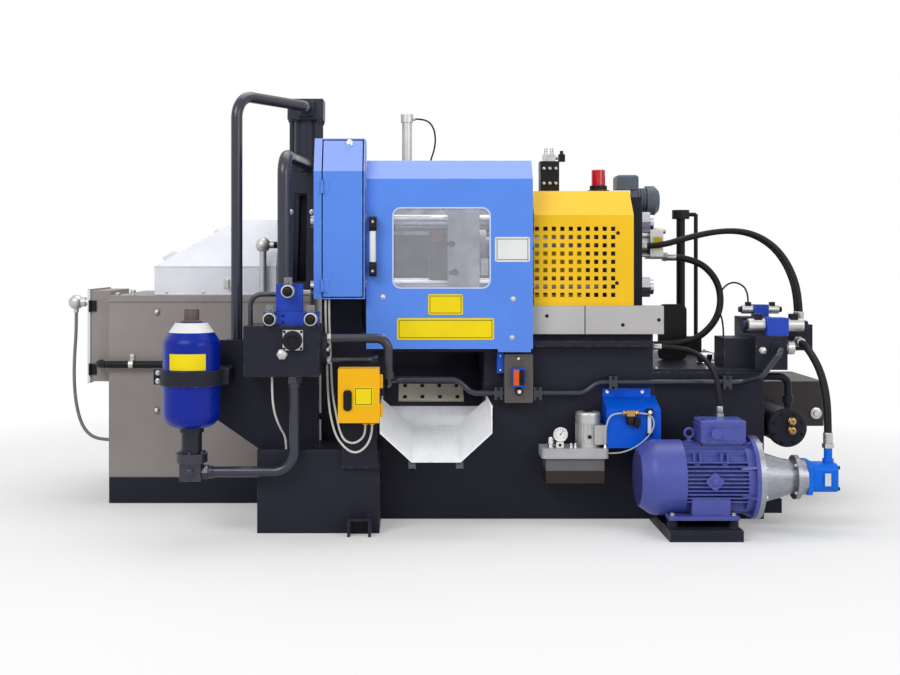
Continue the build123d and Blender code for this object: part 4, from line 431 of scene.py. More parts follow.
# Colour slots of the pieces' finishes
SLOT_FINISHES = {
    "handle_black": ["black"],
    "bar_steel": ["zinc", "chrome", "die", "die_worn"],
    "anthracite": ["anthracite", "frame_dark", "pipe_dark"],
    "guard_yellow": ["label_yellow", "orange_plastic"],
    "sill_grey": ["white", "sill", "label_silver", "edge_light", "cream"],
    "motor_violet": ["motor", "motor_dark"],
    "galvanised": ["hood", "liner"],
    "chute_white": ["chute", "dial"],
    "cast_aluminium": ["brass", "aluminium"],
    "gear_grey": ["gear_grey", "switch", "conduit"],
    "pump_blue": ["blue_plastic"],
}
SLOT_OF = {finish: slot for slot, finishes in SLOT_FINISHES.items() for finish in finishes}
EDGE_WIDTH, SHARP_ANGLE = 0.6, math.radians(40)


def piece(name, finish, build, body="machine", bevel=EDGE_WIDTH, slot=None):
    """Makes a mesh piece from a build function and lets it ride on a body."""
    bm = bmesh.new()
    build(bm)
    bmesh.ops.recalc_face_normals(bm, faces=bm.faces)
    mesh = bpy.data.meshes.new(name)
    bm.to_mesh(mesh)
    bm.free()
    for polygon in mesh.polygons:
        polygon.use_smooth = True
    obj = added(name, mesh)
    mesh.materials.append(M[finish])
    if bevel:
        edge = obj.modifiers.new("edge", "BEVEL")
        edge.width = bevel * MM
        edge.segments = 2
        edge.limit_method = "ANGLE"
        edge.angle_limit = SHARP_ANGLE
        edge.harden_normals = True
    mesh.set_sharp_from_angle(angle=SHARP_ANGLE)
    slot = slot or SLOT_OF[finish]
    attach(obj, body)
    return obj


def shown(finish, body="machine", bevel=EDGE_WIDTH, slot=None):
    """Makes a piece that is named after the function that builds its mesh."""
    def make(build):
        piece(build.__name__, finish, build, body, bevel, slot)
        return build
    return make


def heads(name, kind, axis, radius, height, places, body="machine", finish="zinc"):
    """A set of like screw heads as one piece; a grid of places is given as the product of its x, y and z."""
    def build(bm):
        for place in places:
            kind(bm, place, axis, radius, height)
    piece(name, finish, build, body, 0 if kind is button else EDGE_WIDTH)


# Camera at the photograph's place
PHOTO_WIDTH, PHOTO_HEIGHT, SENSOR_WIDTH = 900, 675, 36
FOCAL_PX = 1280
EYE_PX, EYE_PY = 410, 255
lens = bpy.data.cameras.new("photo_camera")
lens.sensor_width = SENSOR_WIDTH
lens.lens = FOCAL_PX * SENSOR_WIDTH / PHOTO_WIDTH
lens.shift_x = (PHOTO_WIDTH / 2 - EYE_PX) / PHOTO_WIDTH
lens.shift_y = (EYE_PY - PHOTO_HEIGHT / 2) / PHOTO_WIDTH
camera = added("photo_camera", lens)
camera.location = (-0.14, -5.37, 1.010)
camera.rotation_euler = (math.pi / 2, 0, 0)
bpy.context.scene.camera = camera


# Hoses and cables
def cord(name, node, points, radius, finish="rubber", ends=True):
    """Smooth hose along its route, with crimped metal ends."""
    curve = bpy.data.curves.new(name, "CURVE")
    curve.dimensions = "3D"
    curve.bevel_depth = radius * MM
    curve.bevel_resolution = 5
    curve.use_fill_caps = True
    spline = curve.splines.new("NURBS")
    spline.points.add(len(points) - 1)
    for point, place in zip(spline.points, points):
        point.co = (*(Vector(place) * MM), 1.0)
    spline.order_u = 3
    spline.use_endpoint_u = True
    spline.resolution_u = 10
    obj = added(name, curve)
    curve.materials.append(M[finish])
    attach(obj, "machine")
    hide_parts(node)
    if ends:
        for label, at, toward in (("start", points[0], points[1]), ("end", points[-1], points[-2])):
            run = Vector(toward) - Vector(at)
            size = radius * 1.22

            def build(bm, at=at, run=run, size=size):
                lathe(bm, at, run, [(0.3, size * 1.25), (size, size * 1.25)], 6)
                lathe(bm, at, run, [(size, size * 0.9), (size * 1.2, size), (size * 3.2, size),
                                    (size * 3.3, size * 0.9)], 24)
            piece(name + "_" + label + "_ferrule", "zinc", build)


def cable(name, node, points, radius, finish="rubber"):
    """Cord without crimped ends."""
    cord(name, node, points, radius, finish, False)


ARCH = [(780, -130, 1045), (880, -130, 1045), (1000, -132, 1082), (1130, -140, 1110), (1240, -170, 1105),
        (1325, -225, 1050), (1372, -290, 960), (1388, -355, 845), (1388, -355, 740)]
ARCH_SPACING = 38
cord("arch_hose_front_line", "arch_hoses", ARCH, 12)
cord("arch_hose_rear_line", "arch_hoses", [(x, y + ARCH_SPACING, z) for x, y, z in ARCH], 12)
cord("loop_hose_line", "loop_hose", [
    (910, -40, 1003), (1039, -40, 1003), (1139, -75, 907), (1139, -110, 767), (1039, -145, 665),
    (915, -170, 645), (790, -170, 645)], 14)
cord("return_hose_line", "return_hose", [
    (790, -428, 655), (880, -428, 655), (948, -490, 640), (985, -578, 600), (1000, -658, 530),
    (1000, -658, 414)], 10)
cord("pump_hose_line", "pump_hose", [
    (1385, -700, 306), (1385, -700, 400), (1388, -675, 495), (1385, -615, 580), (1370, -540, 645),
    (1360, -470, 675), (1360, -410, 675)], 14)
cable("thermocouple_line", "control_cables", [
    (-1540, 0, 769), (-1540, 0, 690), (-1546, -6, 590), (-1547, -10, 490), (-1540, -8, 390),
    (-1518, -4, 300), (-1480, 0, 250), (-1425, 0, 235), (-1367, 0, 235)], 7, "conduit")
cable("valve_cable_line", "control_cables", [
    (1209.4, -260, 822.4), (1209.4, -260, 873), (1160, -262, 905), (1115, -266, 890), (1090, -272, 845),
    (1088, -285, 790), (1100, -305, 740), (1100, -305, 690)], 3.5)
cable("air_hose_line", "control_cables", [
    (-118, -200, 1559), (-78, -200, 1559), (-46, -200, 1530), (-36, -200, 1482), (-42, -200, 1432),
    (-60, -200, 1385), (-60, -200, 1335)], 3.5)
cable("guard_cable_line", "signal_cables", [
    (-456, -585, 846), (-456, -585, 770), (-450, -622, 690), (-446, -650, 600), (-440, -690, 500),
    (-426, -742, 415), (-398, -780, 340), (-335, -785, 290), (-276, -785, 345), (-276, -785, 403)],
      4, "cable")
cable("door_cable_line", "signal_cables", [
    (-443, -577, 846), (-443, -577, 770), (-437, -614, 690), (-432, -642, 600), (-424, -682, 500),
    (-406, -737, 428), (-392, -774, 376), (-376, -785, 346), (-348, -785, 334), (-320, -785, 344),
    (-300, -785, 370), (-300, -785, 403)], 4, "cable")
cable("manifold_cable_line", "signal_cables", [
    (-637, -760, 574), (-637, -760, 505), (-630, -750, 440), (-612, -730, 385), (-592, -700, 345),
    (-592, -700, 302)], 4, "cable")
cable("oil_tube_line", "lube_tubes", [
    (650, -607, 421), (622, -607, 421), (600, -606, 405), (590, -603, 370), (588, -596, 332),
    (588, -596, 287)], 3, "clear_tube")
cable("spray_tube_line", "lube_tubes", [
    (712, -607, 421), (745, -607, 421), (768, -607, 400), (768, -605, 365), (745, -602, 330),
    (712, -598, 300), (672, -590, 278), (637, -580, 268), (602, -580, 268)], 3, "clear_tube")

# Furnace side
heads("furnace_bolts", button, FRONT, 12, 9, product((-1171, -640), [-159], (778, 378)))


@shown("zinc")
def conduit_clips(bm):
    for x in (-1271, -1000):
        lathe(bm, (x - 9, CONDUIT_Y, CONDUIT_Z), RIGHT, [(0, 15.2), (0, 17), (18, 17), (18, 15.2)], 32)
        cuboid(bm, (x - 9, CONDUIT_Y, 580), (x + 9, -160, 583))
        cuboid(bm, (x - 9, -163, 580), (x + 9, -160, 608))
        bolt(bm, (x, -163, 595), FRONT, 5, 5)


@shown("black", bevel=0)
def conduit_ribs(bm):
    ribs, first, pitch = 38, -1380, 13.5
    for k in range(ribs):
        place = (first + pitch * k, CONDUIT_Y, CONDUIT_Z)
        lathe(bm, place, RIGHT, [(0, 13.8), (1.5, 15), (5.5, 15), (7, 13.8)], 20)


@shown("zinc")
def hood_latch(bm):
    cuboid(bm, (-905, HOOD_FRONT - 8, 876), (-871, HOOD_FRONT, 914))
    rod(bm, (-888, HOOD_FRONT, 905), (-888, HOOD_FRONT - 18, 905), 7)
    cuboid(bm, (-893, HOOD_FRONT - 24, 874), (-883, HOOD_FRONT - 16, 908))


@shown("hood")
def hood_seams(bm):
    for z in (846, 960):
        cuboid(bm, (HOOD_LEFT, HOOD_FRONT - 3, z), (HOOD_RIGHT, HOOD_FRONT + 0.5, z + 5))
    for x in (-1140, -990, -840, -730):
        bolt(bm, (x, HOOD_FRONT, 858), FRONT, 5, 5)


@shown("hood")
def hood_tab(bm):
    run, rise = 0.854, 0.52
    rounded(bm, (-1140, 20, 992), (run, 0, rise), BACK, 54, 70, 6, 24)
    lathe(bm, (-954, 60, 1106), (-rise, 0, run), [(0, 15), (8, 15), (12, 11), (14, 5)], 28)


@shown("zinc")
def furnace_knobs(bm):
    knob = [(0, 12), (4, 12), (5, 7), (12, 7), (13, 11), (22, 11), (25, 8)]
    lathe(bm, (-1280, -100, FURNACE_TOP), UP, knob, 28)
    lathe(bm, (-1342, -100, FURNACE_TOP), UP, [(0, 12), (8, 12), (11, 8)], 6)


@shown("black")
def panel_fittings(bm):
    for z in (540, 800):
        rod(bm, (-1455, -109, z - 24), (-1455, -109, z + 24), 6)
        cuboid(bm, (-1452, -106.5, z - 22), (-1430, -99.5, z + 22))
    for z in (600, 760):
        rod(bm, (-1466, 190, z), (-1478, 190, z), 14)
        cuboid(bm, (-1486, 184, z - 4), (-1477, 196, z + 26))


@shown("white", bevel=0.2)
def panel_edge(bm):
    cuboid(bm, (-1466.4, -106.4, 486), (-1454.8, -105.6, 867))


@shown("zinc", bevel=0)
def probe_lids(bm):
    for centre in ((-1540, 0, PROBE_Z), (-741, -135, HOOD_PROBE_Z)):
        torus(bm, centre, (0.35, -0.94, 0), 29.6, 1.8)
    hex_nut(bm, (-1466.5, 0, PROBE_Z), LEFT, 22, lip=4)


@shown("black")
def probe_arm(bm):
    lathe(bm, (-660, -112, HOOD_PROBE_Z), LEFT, [(0, 20), (8, 20), (9, 14), (56, 14)], 32)


# Accumulator
@shown("white", bevel=0, slot="chute_white")
def bottle_shoulder(bm):
    lathe(bm, (BOTTLE_X, BOTTLE_Y, 733.5), UP, [(0, 79), (0, 80.9), (34, 57.2), (34.4, 50)], 64)


@shown("switch")
def bottle_cap(bm):
    cap = [(0, 38), (5, 38), (6.5, 33), (9, 27.5), (44, 27.5), (48.2, 25), (48.5, 8)]
    lathe(bm, (BOTTLE_X, BOTTLE_Y, 768), UP, cap, 40)


@shown("label_yellow", bevel=0)
def bottle_label(bm):
    steps, first, sweep, radius = 14, -128, 76, 103.5
    for k in range(steps):
        corners = []
        for turn in (k, k + 1):
            a = math.radians(first + sweep * turn / steps)
            x, y = BOTTLE_X + radius * math.cos(a), BOTTLE_Y + radius * math.sin(a)
            for z in (603, 661):
                corners.append(bm.verts.new(Vector((x, y, z)) * MM))
        bm.faces.new((corners[0], corners[2], corners[3], corners[1]))
    bmesh.ops.remove_doubles(bm, verts=bm.verts, dist=0.0001)


heads("band_bolts", bolt, FRONT, 7, 8, [(-1043, BOTTLE_Y - 10, 558), (-1043, BOTTLE_Y - 10, 588),
                                        (-830, BOTTLE_Y, 560), (-830, BOTTLE_Y, 586)])


@shown("pipe_dark")
def feed_fittings(bm):
    for start, axis in (((-886, BOTTLE_Y, 232), RIGHT), ((-555, BOTTLE_Y, 574), DOWN)):
        lathe(bm, start, axis, [(0.5, 28), (22, 28), (24, 25)], 6)
        lathe(bm, start, axis, [(24, 23), (40, 22), (42, 19.4)], 32)
    for x, y in circle(6, 47, 30):
        cap_screw(bm, (BOTTLE_X + x, BOTTLE_Y + y, 300), UP, 6, 7)
    hex_nut(bm, (BOTTLE_X, -813, 234), FRONT, 16)


# Injection manifold and its valves
@shown("white", slot="chute_white")
def manifold_plate(bm):
    front_plate(bm, PORT_X, MANIFOLD_FRONT, PORT_Z, 72, 72, 4, 6)


@shown("black")
def manifold_port(bm):
    port = [(0, 35), (4, 35), (6, 30), (6, 18), (3, 16)]
    lathe(bm, (PORT_X, MANIFOLD_FRONT - 25, PORT_Z), FRONT, port, 40)
    for x, z in circle(4, 43, 45):
        cap_screw(bm, (PORT_X + x, MANIFOLD_FRONT - 6, PORT_Z + z), FRONT, 4.5, 5)
    for x, z in circle(4, 26, 45):
        cap_screw(bm, (-610 + x * 0.8, -780, 781 + z * 0.6), FRONT, 4.5, 4)


@shown("zinc")
def manifold_plugs(bm):
    lathe(bm, (-597, MANIFOLD_FRONT, 655), FRONT, [(0, 20), (2, 20), (3, 16), (15, 16), (17, 13)], 6)
    for x in (-826, -764):
        cap_screw(bm, (x, -572, 671), FRONT, 6, 6)
    for y, z in circle(6, 47, 0):
        cap_screw(bm, (MANIFOLD_RIGHT, MANIFOLD_Y + y, 669 + z), RIGHT, 6.5, 8)
    hex_nut(bm, (MANIFOLD_RIGHT + 0.2, MANIFOLD_Y, 707), RIGHT, 20, 12, 2)
    hex_nut(bm, (MANIFOLD_RIGHT + 0.2, MANIFOLD_Y, 629), RIGHT, 15, 12)


@shown("anthracite", bevel=1.5)
def tube_foot(bm):
    rounded(bm, (-795, -532, 652), RIGHT, BACK, 80, 80, 5, 38)


SOLENOIDS = ((-576, -815, 880), (-640, -825, 781), (-494, -825, 781))


@shown("aluminium")
def solenoid_rings(bm):
    for x, y, z in SOLENOIDS:
        lathe(bm, (x, y, z), FRONT, [(-34, 23), (-34, 24.5), (0, 24.5), (4, 22), (5, 15)], 40)


@shown("black")
def solenoid_caps(bm):
    cap = [(0, 19), (1.5, 19), (2, 13.5), (10, 13.5), (13, 11), (14, 6)]
    for x, y, z in SOLENOIDS:
        lathe(bm, (x, y - 4.8, z), FRONT, cap, 32)


@shown("conduit", bevel=2)
def solenoid_plugs(bm):
    for x, front, axis_z in SOLENOIDS:
        y, z = front + 25, axis_z + 24
        cuboid(bm, (x - 14, y - 14, z), (x + 14, y + 14, z + 26))
        rod(bm, (x, y, z + 13), (x, y - 24, z + 13), 6)


@shown("frame_dark")
def head_nuts(bm):
    for x in (-632, -516):
        for y in (-58, 58):
            hex_nut(bm, (x, y, 1572), DOWN, 14)
            hex_nut(bm, (x, y, 1412), UP, 14)
    for cx, cz in ((-568, 1614.5), (-564, 1380)):
        for x, z in circle(4, 35, 45):
            cap_screw(bm, (cx + x, -92, cz + z), FRONT, 6, 6)


@shown("zinc")
def clamp_nuts(bm):
    for y in (-50, 50):
        for z in (1008, 1108):
            hex_nut(bm, (910, y, z), RIGHT, 12)


@shown("anthracite")
def frame_back(bm):
    rounded(bm, (-570, 119.5, 1106), RIGHT, UP, 164, 450, 6, 5)


heads("frame_bolts", bolt, FRONT, 8, 7, [(-628, -120, 1186), (-542, -120, 1186)])


# Guard housing and the sliding door
@shown("chrome", "access_door")
def housing_latch(bm):
    lathe(bm, (-368, -549.5, 1430), (0, -0.904, 0.427), [(0, 13), (4, 13), (6, 10), (12, 10), (14, 7)], 28)


# Plates on the door: centre, size, and how far their border line stands in from the edge
PLATE_THICK, RIVET_INSET = 2, 4
CAPACITY_PLATE = (245, 1031, 132, 94, 7)
SMALL_SIGN = (-6.5, 824, 131, 78, 6)
LONG_SIGN = (-6.5, 732, 365, 82, 7)


def door_sign(bm, sign):
    x, z, width, height, _ = sign
    front_plate(bm, x, DOOR_FRONT, z, width, height, 3, PLATE_THICK)


@shown("white", "sliding_door", 0.3)
def door_plate(bm):
    door_sign(bm, CAPACITY_PLATE)


@shown("label_yellow", "sliding_door", 0.3)
def door_signs(bm):
    door_sign(bm, SMALL_SIGN)
    door_sign(bm, LONG_SIGN)


@shown("black", "sliding_door", 0)
def door_lines(bm):
    for x, z, width, height, inset in (CAPACITY_PLATE, SMALL_SIGN, LONG_SIGN):
        border(bm, x, DOOR_FRONT - PLATE_THICK, z, width - 2 * inset, height - 2 * inset)
    for x in (205, 275):
        cuboid(bm, (x - 18, DOOR_FRONT + 3.6, 649), (x + 18, DOOR_FRONT + 6, 653))


heads("door_bolts", bolt, FRONT, 7, 6,
      [(x, DOOR_FRONT, z) for x, z in ((-241, 852), (247, 845), (243, 700), (-241, 700))], "sliding_door")
heads("door_rivets", button, FRONT, 3.6, 2,
      [(x + sx * (width / 2 - RIVET_INSET), DOOR_FRONT - PLATE_THICK, z + sz * (height / 2 - RIVET_INSET))
       for x, z, width, height, _ in (SMALL_SIGN, LONG_SIGN, CAPACITY_PLATE)
       for sx in (-1, 1) for sz in (-1, 1)], "sliding_door")


@shown("white", "sliding_door", 0, slot="chute_white")
def handle_bar(bm):
    lathe(bm, (HANDLE_X, -596, 984), UP, [(0, 11.3), (1, 11.8), (114, 11.8), (115, 11.3)], 32)


heads("handle_screws", cap_screw, FRONT, 5, 4, product([HANDLE_X], [-609.6], (950, 1134)), "sliding_door")


@shown("edge_light", "sliding_door", 0.4)
def window_edge(bm):
    outer = []
    w, h, r, steps = 365, 301, 30, 7
    for sx, sz, first in ((1, 1, 0), (-1, 1, 90), (-1, -1, 180), (1, -1, 270)):
        for k in range(steps + 1):
            a = math.radians(first + 90 * k / steps)
            nx, nz = math.cos(a), math.sin(a)
            outer.append(((w / 2 - r) * sx + r * nx, (h / 2 - r) * sz + r * nz, nx, nz))
    rings = []
    for spread, ahead in ((-2.5, -3), (-2.5, 1.2), (3, 1.2), (3, -0.5)):
        rings.append([bm.verts.new(Vector((WINDOW_X + x + nx * spread, DOOR_FRONT - ahead,
                                           WINDOW_Z + z + nz * spread)) * MM) for x, z, nx, nz in outer])
    count = len(outer)
    for a, b in zip(rings, rings[1:] + rings[:1]):
        for k in range(count):
            bm.faces.new((a[k], a[(k + 1) % count], b[(k + 1) % count], b[k]))


# Die and platen behind the window
@shown("liner")
def guard_liner(bm):
    rounded(bm, (-3, 440, 1010), RIGHT, UP, 640, 580, 8, 4)


@shown("die", "clamp_platen")
def die_skin(bm):
    cuboid(bm, (-60.5, DIE_FRONT, 906), (10.5, DIE_FRONT + 1.5, 1118))
    for z in (930, 975, 1020, 1065, 1100):
        cuboid(bm, (-54, DIE_FRONT - 3, z), (4, DIE_FRONT, z + 12))


@shown("die_worn", "clamp_platen", 0.3)
def die_tint(bm):
    front_plate(bm, -34, DIE_FRONT - 3, 1088, 44, 44, 6, 2)


@shown("black", "clamp_platen")
def platen_clamps(bm):
    for x, z in ((27, 1054), (39, 942)):
        cap_screw(bm, (x, PLATEN_FRONT, z), FRONT, 13, 16)
        cuboid(bm, (x - 24, PLATEN_FRONT - 12, z - 7), (x, PLATEN_FRONT, z + 7))
    for y in (-230, 230):
        for z in (800, 1220):
            cap_screw(bm, (11, y, z), LEFT, 11, 12)


@shown("white", "clamp_platen")
def platen_bracket(bm):
    cuboid(bm, (137, PLATEN_FRONT, 930), (172, PLATEN_FRONT + 8, 996))
    cuboid(bm, (137, PLATEN_FRONT, 930), (143, PLATEN_FRONT + 50, 996))
    for z in (975, 948):
        button(bm, (160, PLATEN_FRONT, z), FRONT, 5, 3)


# Guard, sill and what stands on them
heads("guard_screws", bolt, FRONT, 5, 4, [(653, GUARD_FRONT, 1094), (649, GUARD_FRONT, 903)], finish="black")
heads("sill_screws", button, FRONT, 7, 4,
      [(x, SILL_FRONT, z) for x, z in ((381, 778), (670, 744), (807, 763))], finish="black")
heads("rear_screws", bolt, BACK, 6, 5, [*product((353, 693), [GUARD_BACK], (840, 1140)),
                                        *product((-316, 309), [REAR_GUARD_BACK], (740, 1290))])
heads("rear_sill_screws", button, BACK, 7, 4, product((345, 505, 548, 806), [SILL_BACK], (735, 792)))


@shown("black")
def beacon_foot(bm):
    foot = [(0, 46), (12, 46), (14.5, 43.5), (15, 35.2), (33, 34.9), (33.6, 28.5)]
    lathe(bm, (628, -150, GUARD_TOP), UP, foot, 40)


@shown("zinc")
def distributor_fittings(bm):
    for x in (402, 426, 450):
        for z in (1300, 1360):
            lathe(bm, (x, DISTRIBUTOR_FRONT, z), FRONT, [(0, 7), (6, 7), (7, 5), (16, 5)], 6)


@shown("zinc", bevel=1.5)
def distributor_crown(bm):
    cuboid(bm, (401, DISTRIBUTOR_Y - 23, 1390), (451, DISTRIBUTOR_Y + 23, 1418))
    barb = [(0, 9), (8, 9), (9, 6), (14, 6), (15, 7.5), (22, 5.5), (23, 7.5), (30, 5.5)]
    for x in (414, 438):
        lathe(bm, (x, DISTRIBUTOR_Y, 1417), UP, barb, 18)
    lathe(bm, (450, DISTRIBUTOR_Y, 1405), RIGHT, [(0, 10), (6, 10), (7, 7), (16, 7)], 6)


@shown("black", bevel=2)
def distributor_plug(bm):
    cuboid(bm, (465, DISTRIBUTOR_Y - 15, 1390), (491, DISTRIBUTOR_Y + 15, 1420))
    lathe(bm, (478, DISTRIBUTOR_Y, 1419), UP, [(0, 9), (4, 9), (5, 7), (14, 7), (16, 5)], 18)


@shown("label_yellow", bevel=0.2)
def cylinder_tag(bm):
    front_plate(bm, 887, -65, 1060, 34, 50, 3, 1.2)


# Base front
@shown("anthracite")
def base_cover(bm):
    thick = 4
    front_plate(bm, 738, BASE_FRONT, 650, 84, 26, 3, thick)
    for x in (704, 772):
        button(bm, (x, BASE_FRONT - thick, 650), FRONT, 5, 3)


@shown("anthracite")
def rear_covers(bm):
    z, thick = 380, 4
    for x in (-250, 380):
        rounded(bm, (x, BASE_BACK, z), LEFT, UP, 360, 440, 12, thick)
        for dx in (-165, 165):
            for dz in (-205, 0, 205):
                bolt(bm, (x + dx, BASE_BACK + thick, z + dz), BACK, 6, 5)


heads("pipe_clamp_bolts", bolt, FRONT, 4.5, 5,
      [(x, -526, z + dz) for x, z in ((195.5, 485), (343.5, 485), (629.5, 526), (1062.5, 526))
       for dz in (-18, 18)], finish="black")

# The drop plate under the die slopes down to the chute
DROP_ALONG, DROP_OUT = Vector((0, 0.951, 0.309)), Vector((0, -0.309, 0.951))
DROP_PLATE = Vector((-55, -175, 449))


@shown("chute")
def drop_slide(bm):
    rounded(bm, (-47, -383, 381), RIGHT, DROP_ALONG, 380, 176, 2, 4)


@shown("cream")
def drop_plate(bm):
    rounded(bm, DROP_PLATE, RIGHT, DROP_ALONG, 262, 165, 4, 6)


heads("drop_plate_bolts", cap_screw, DROP_OUT, 8, 8,
      [DROP_PLATE + DROP_ALONG * t + Vector((x, -2, 5.8)) for x in (-105, -35, 35, 105) for t in (-55, 55)],
      finish="black")


@shown("chute")
def chute_rolls(bm):
    for x in (-246, 152):
        rod(bm, (x, -798, 468), (x, -471, 468), 4)


@shown("gear_grey")
def chute_feet(bm):
    front, low = -786, 240
    for x in (-132, 38):
        cuboid(bm, (x - 13, front, low), (x + 13, front + 5, low + 33))
        cuboid(bm, (x - 13, front, low), (x + 13, front + 26, low + 5))
        bolt(bm, (x, front, low + 15), FRONT, 6, 5)


@shown("black", "junction_cover", 1.5)
def junction_lever(bm):
    front_plate(bm, -361, JUNCTION_FRONT, 495, 30, 74, 12, 6)
    front_plate(bm, -361, JUNCTION_FRONT - 6, 506, 16, 46, 7, 9)


@shown("label_yellow", "junction_cover", 0.3)
def junction_plate(bm):
    front_plate(bm, JUNCTION_PLATE_X, JUNCTION_FRONT, JUNCTION_PLATE_Z, 67, 67, 3, 1.5)


@shown("black", "junction_cover", 0)
def junction_lines(bm):
    border(bm, JUNCTION_PLATE_X, JUNCTION_FRONT - 1.5, JUNCTION_PLATE_Z, 59, 59, 2)


@shown("black")
def junction_glands(bm):
    for x in (-372, -342, -300, -276):
        lathe(bm, (x, -785, 415), DOWN, [(0, 13), (7, 13), (8, 11)], 6)
    for x in (-372, -342):
        lathe(bm, (x, -785, 407), DOWN, [(0, 9.5), (8, 9), (11, 6)], 24)


@shown("blue_plastic", bevel=1.5)
def switch_body(bm):
    front_plate(bm, 269, SWITCH_FRONT, SWITCH_Z, 48, 72, 5, 20)
    cuboid(bm, (190, -520, 562), (216, BASE_FRONT, 640))


@shown("orange_plastic", bevel=1)
def switch_face(bm):
    front_plate(bm, 259.5, SWITCH_FRONT - 20, SWITCH_Z, 21, 58, 3, 5)


@shown("black")
def switch_knob(bm):
    front_plate(bm, 280.5, SWITCH_FRONT - 20, SWITCH_Z, 18, 58, 3, 4)
    lathe(bm, (280.5, SWITCH_FRONT - 24, 545), FRONT, [(0, 8), (3, 8), (4, 6.5), (15, 6), (16, 4)], 24)
    lathe(bm, (271, SWITCH_FRONT, 496), FRONT, [(0, 15), (8, 15), (10, 12)], 28)


@shown("chrome")
def switch_pins(bm):
    lathe(bm, (271, SWITCH_FRONT - 10, 496), FRONT, [(0, 10), (6, 10), (8, 8), (14, 7)], 24)
    lathe(bm, (268, SWITCH_FRONT, 620), FRONT, [(0, 7), (4, 7), (6, 5), (18, 5)], 24)
    for z in (628, 574):
        button(bm, (203, -520, z), FRONT, 5, 4)


# Lubrication set and spray box
@shown("chrome")
def gauge_case(bm):
    case = [(0, 23), (3, 28), (22, 28), (24, 26.5), (24, 24), (21, 23.5)]
    lathe(bm, (GAUGE_X, -578, GAUGE_Z), FRONT, case, 48)
    cuboid(bm, (GAUGE_X - 14, -584, LUBE_TOP), (GAUGE_X + 14, -556, LUBE_TOP + 24))
    rod(bm, (GAUGE_X, -570, LUBE_TOP + 24), (GAUGE_X, -570, GAUGE_Z), 6)
    rod(bm, (GAUGE_X, -570, GAUGE_Z), (GAUGE_X, -580, GAUGE_Z), 6)


@shown("dial", bevel=0)
def gauge_dial(bm):
    lathe(bm, (GAUGE_X, -598, GAUGE_Z), FRONT, [(0, 24), (1.5, 24), (1.7, 23)], 48)


@shown("black", bevel=0)
def gauge_marks(bm):
    centre = Vector((GAUGE_X, -599.6, GAUGE_Z))
    marks, first, step = 11, 225, 27
    for k in range(marks):
        a = math.radians(first - step * k)
        side = Vector((math.cos(a), 0, math.sin(a)))
        rod(bm, centre + side * 16, centre + side * 21, 0.9, 8, 0.2)
    a = math.radians(52)
    rod(bm, centre, centre + Vector((math.cos(a), 0, math.sin(a))) * 18, 1.1, 8, 0.2)
    lathe(bm, centre, FRONT, [(0, 3), (1.6, 2.6)], 16)
    button(bm, (GAUGE_X, -584, LUBE_TOP + 12), FRONT, 6, 2)


@shown("chrome")
def lube_fittings(bm):
    valve = [(0, 13), (5, 13), (6, 10), (14, 10), (15, 14), (38, 14), (41, 11)]
    lathe(bm, (388, -566, LUBE_TOP), UP, valve, 28)
    for x in (462, 478):
        lathe(bm, (x, -588, LUBE_TOP), UP, [(0, 7), (8, 7), (9, 5), (20, 5)], 6)
    lathe(bm, (588, -596, LUBE_TOP), UP, [(0, 8), (7, 8), (8, 6), (13, 4)], 6)
    for y in (-559, -521):
        for z in (307, 365):
            button(bm, (591, y, z), RIGHT, 3.5, 2)


@shown("black")
def lube_cap(bm):
    lathe(bm, (531, -540, 418), UP, [(0, 20), (3.5, 20), (5, 17)], 32)
    lathe(bm, (531, -587, 330), FRONT, [(0, 7), (8, 7), (10, 5)], 20)


@shown("sill", bevel=2)
def lube_terminal(bm):
    front_plate(bm, 574, -565, 336, 50, 72, 6, 20)


@shown("brass", bevel=1.5)
def spray_tee(bm):
    cuboid(bm, (666, -618, 410), (696, -594, 432))
    for x, axis in ((666, LEFT), (696, RIGHT)):
        lathe(bm, (x, TEE_Y, TEE_Z), axis, [(0, 9), (5, 9), (6, 11), (14, 11), (15, 9)], 6)


@shown("black", bevel=1.5)
def spray_coil(bm):
    lathe(bm, (681, -606, 410), DOWN, [(0, 13), (4, 16), (30, 16), (33, 12)], 28)
    cuboid(bm, (694, -622, 376), (716, -590, 402))
    lathe(bm, (705, -606, 376), DOWN, [(0, 8), (8, 8), (10, 5)], 20)
    front_plate(bm, 753, -590, 424, 26, 28, 4, 16)
    front_plate(bm, 753, -590, 341, 22, 12, 3, 14)


@shown("white", bevel=0, slot="tank_plastic")
def sight_tube(bm):
    rod(bm, (753, -598, 346), (753, -598, 411), 7)


@shown("chrome")
def spray_knobs(bm):
    lathe(bm, (753, -606, 424), FRONT, [(0, 8), (6, 8), (8, 6)], 24)
    for x in (613, 747):
        cap_screw(bm, (x, -476, 487), FRONT, 7, 6)


# Hydraulic set
@shown("chrome")
def filler_cap(bm):
    cap = [(0, 37), (4, 37), (6, 30), (14, 30), (16, 33.5), (36, 33.5), (40, 29), (40.5, 8)]
    lathe(bm, (1052, -200, LID_TOP), UP, cap, 48)


heads("lid_bolts", bolt, UP, 7, 6, [(x, y, LID_TOP) for x, y in (
    *product((806, 1000, 1199), (-455, 455)), (806, -150), (806, 150), (1199, 60), (1199, 250))])


@shown("black", bevel=1)
def lid_cover(bm):
    rounded(bm, (950, -40, 690), RIGHT, UP, 118, 232, 26, 16)


@shown("zinc")
def block_fittings(bm):
    lathe(bm, (1196, -520, 648), FRONT, [(0, 15), (2, 15), (3, 13), (13, 13), (15, 10)], 6)
    lathe(bm, (1292, -490, 657), RIGHT, [(0, 21), (5, 21), (6, 26), (29, 26), (32, 23), (33, 12)], 36)


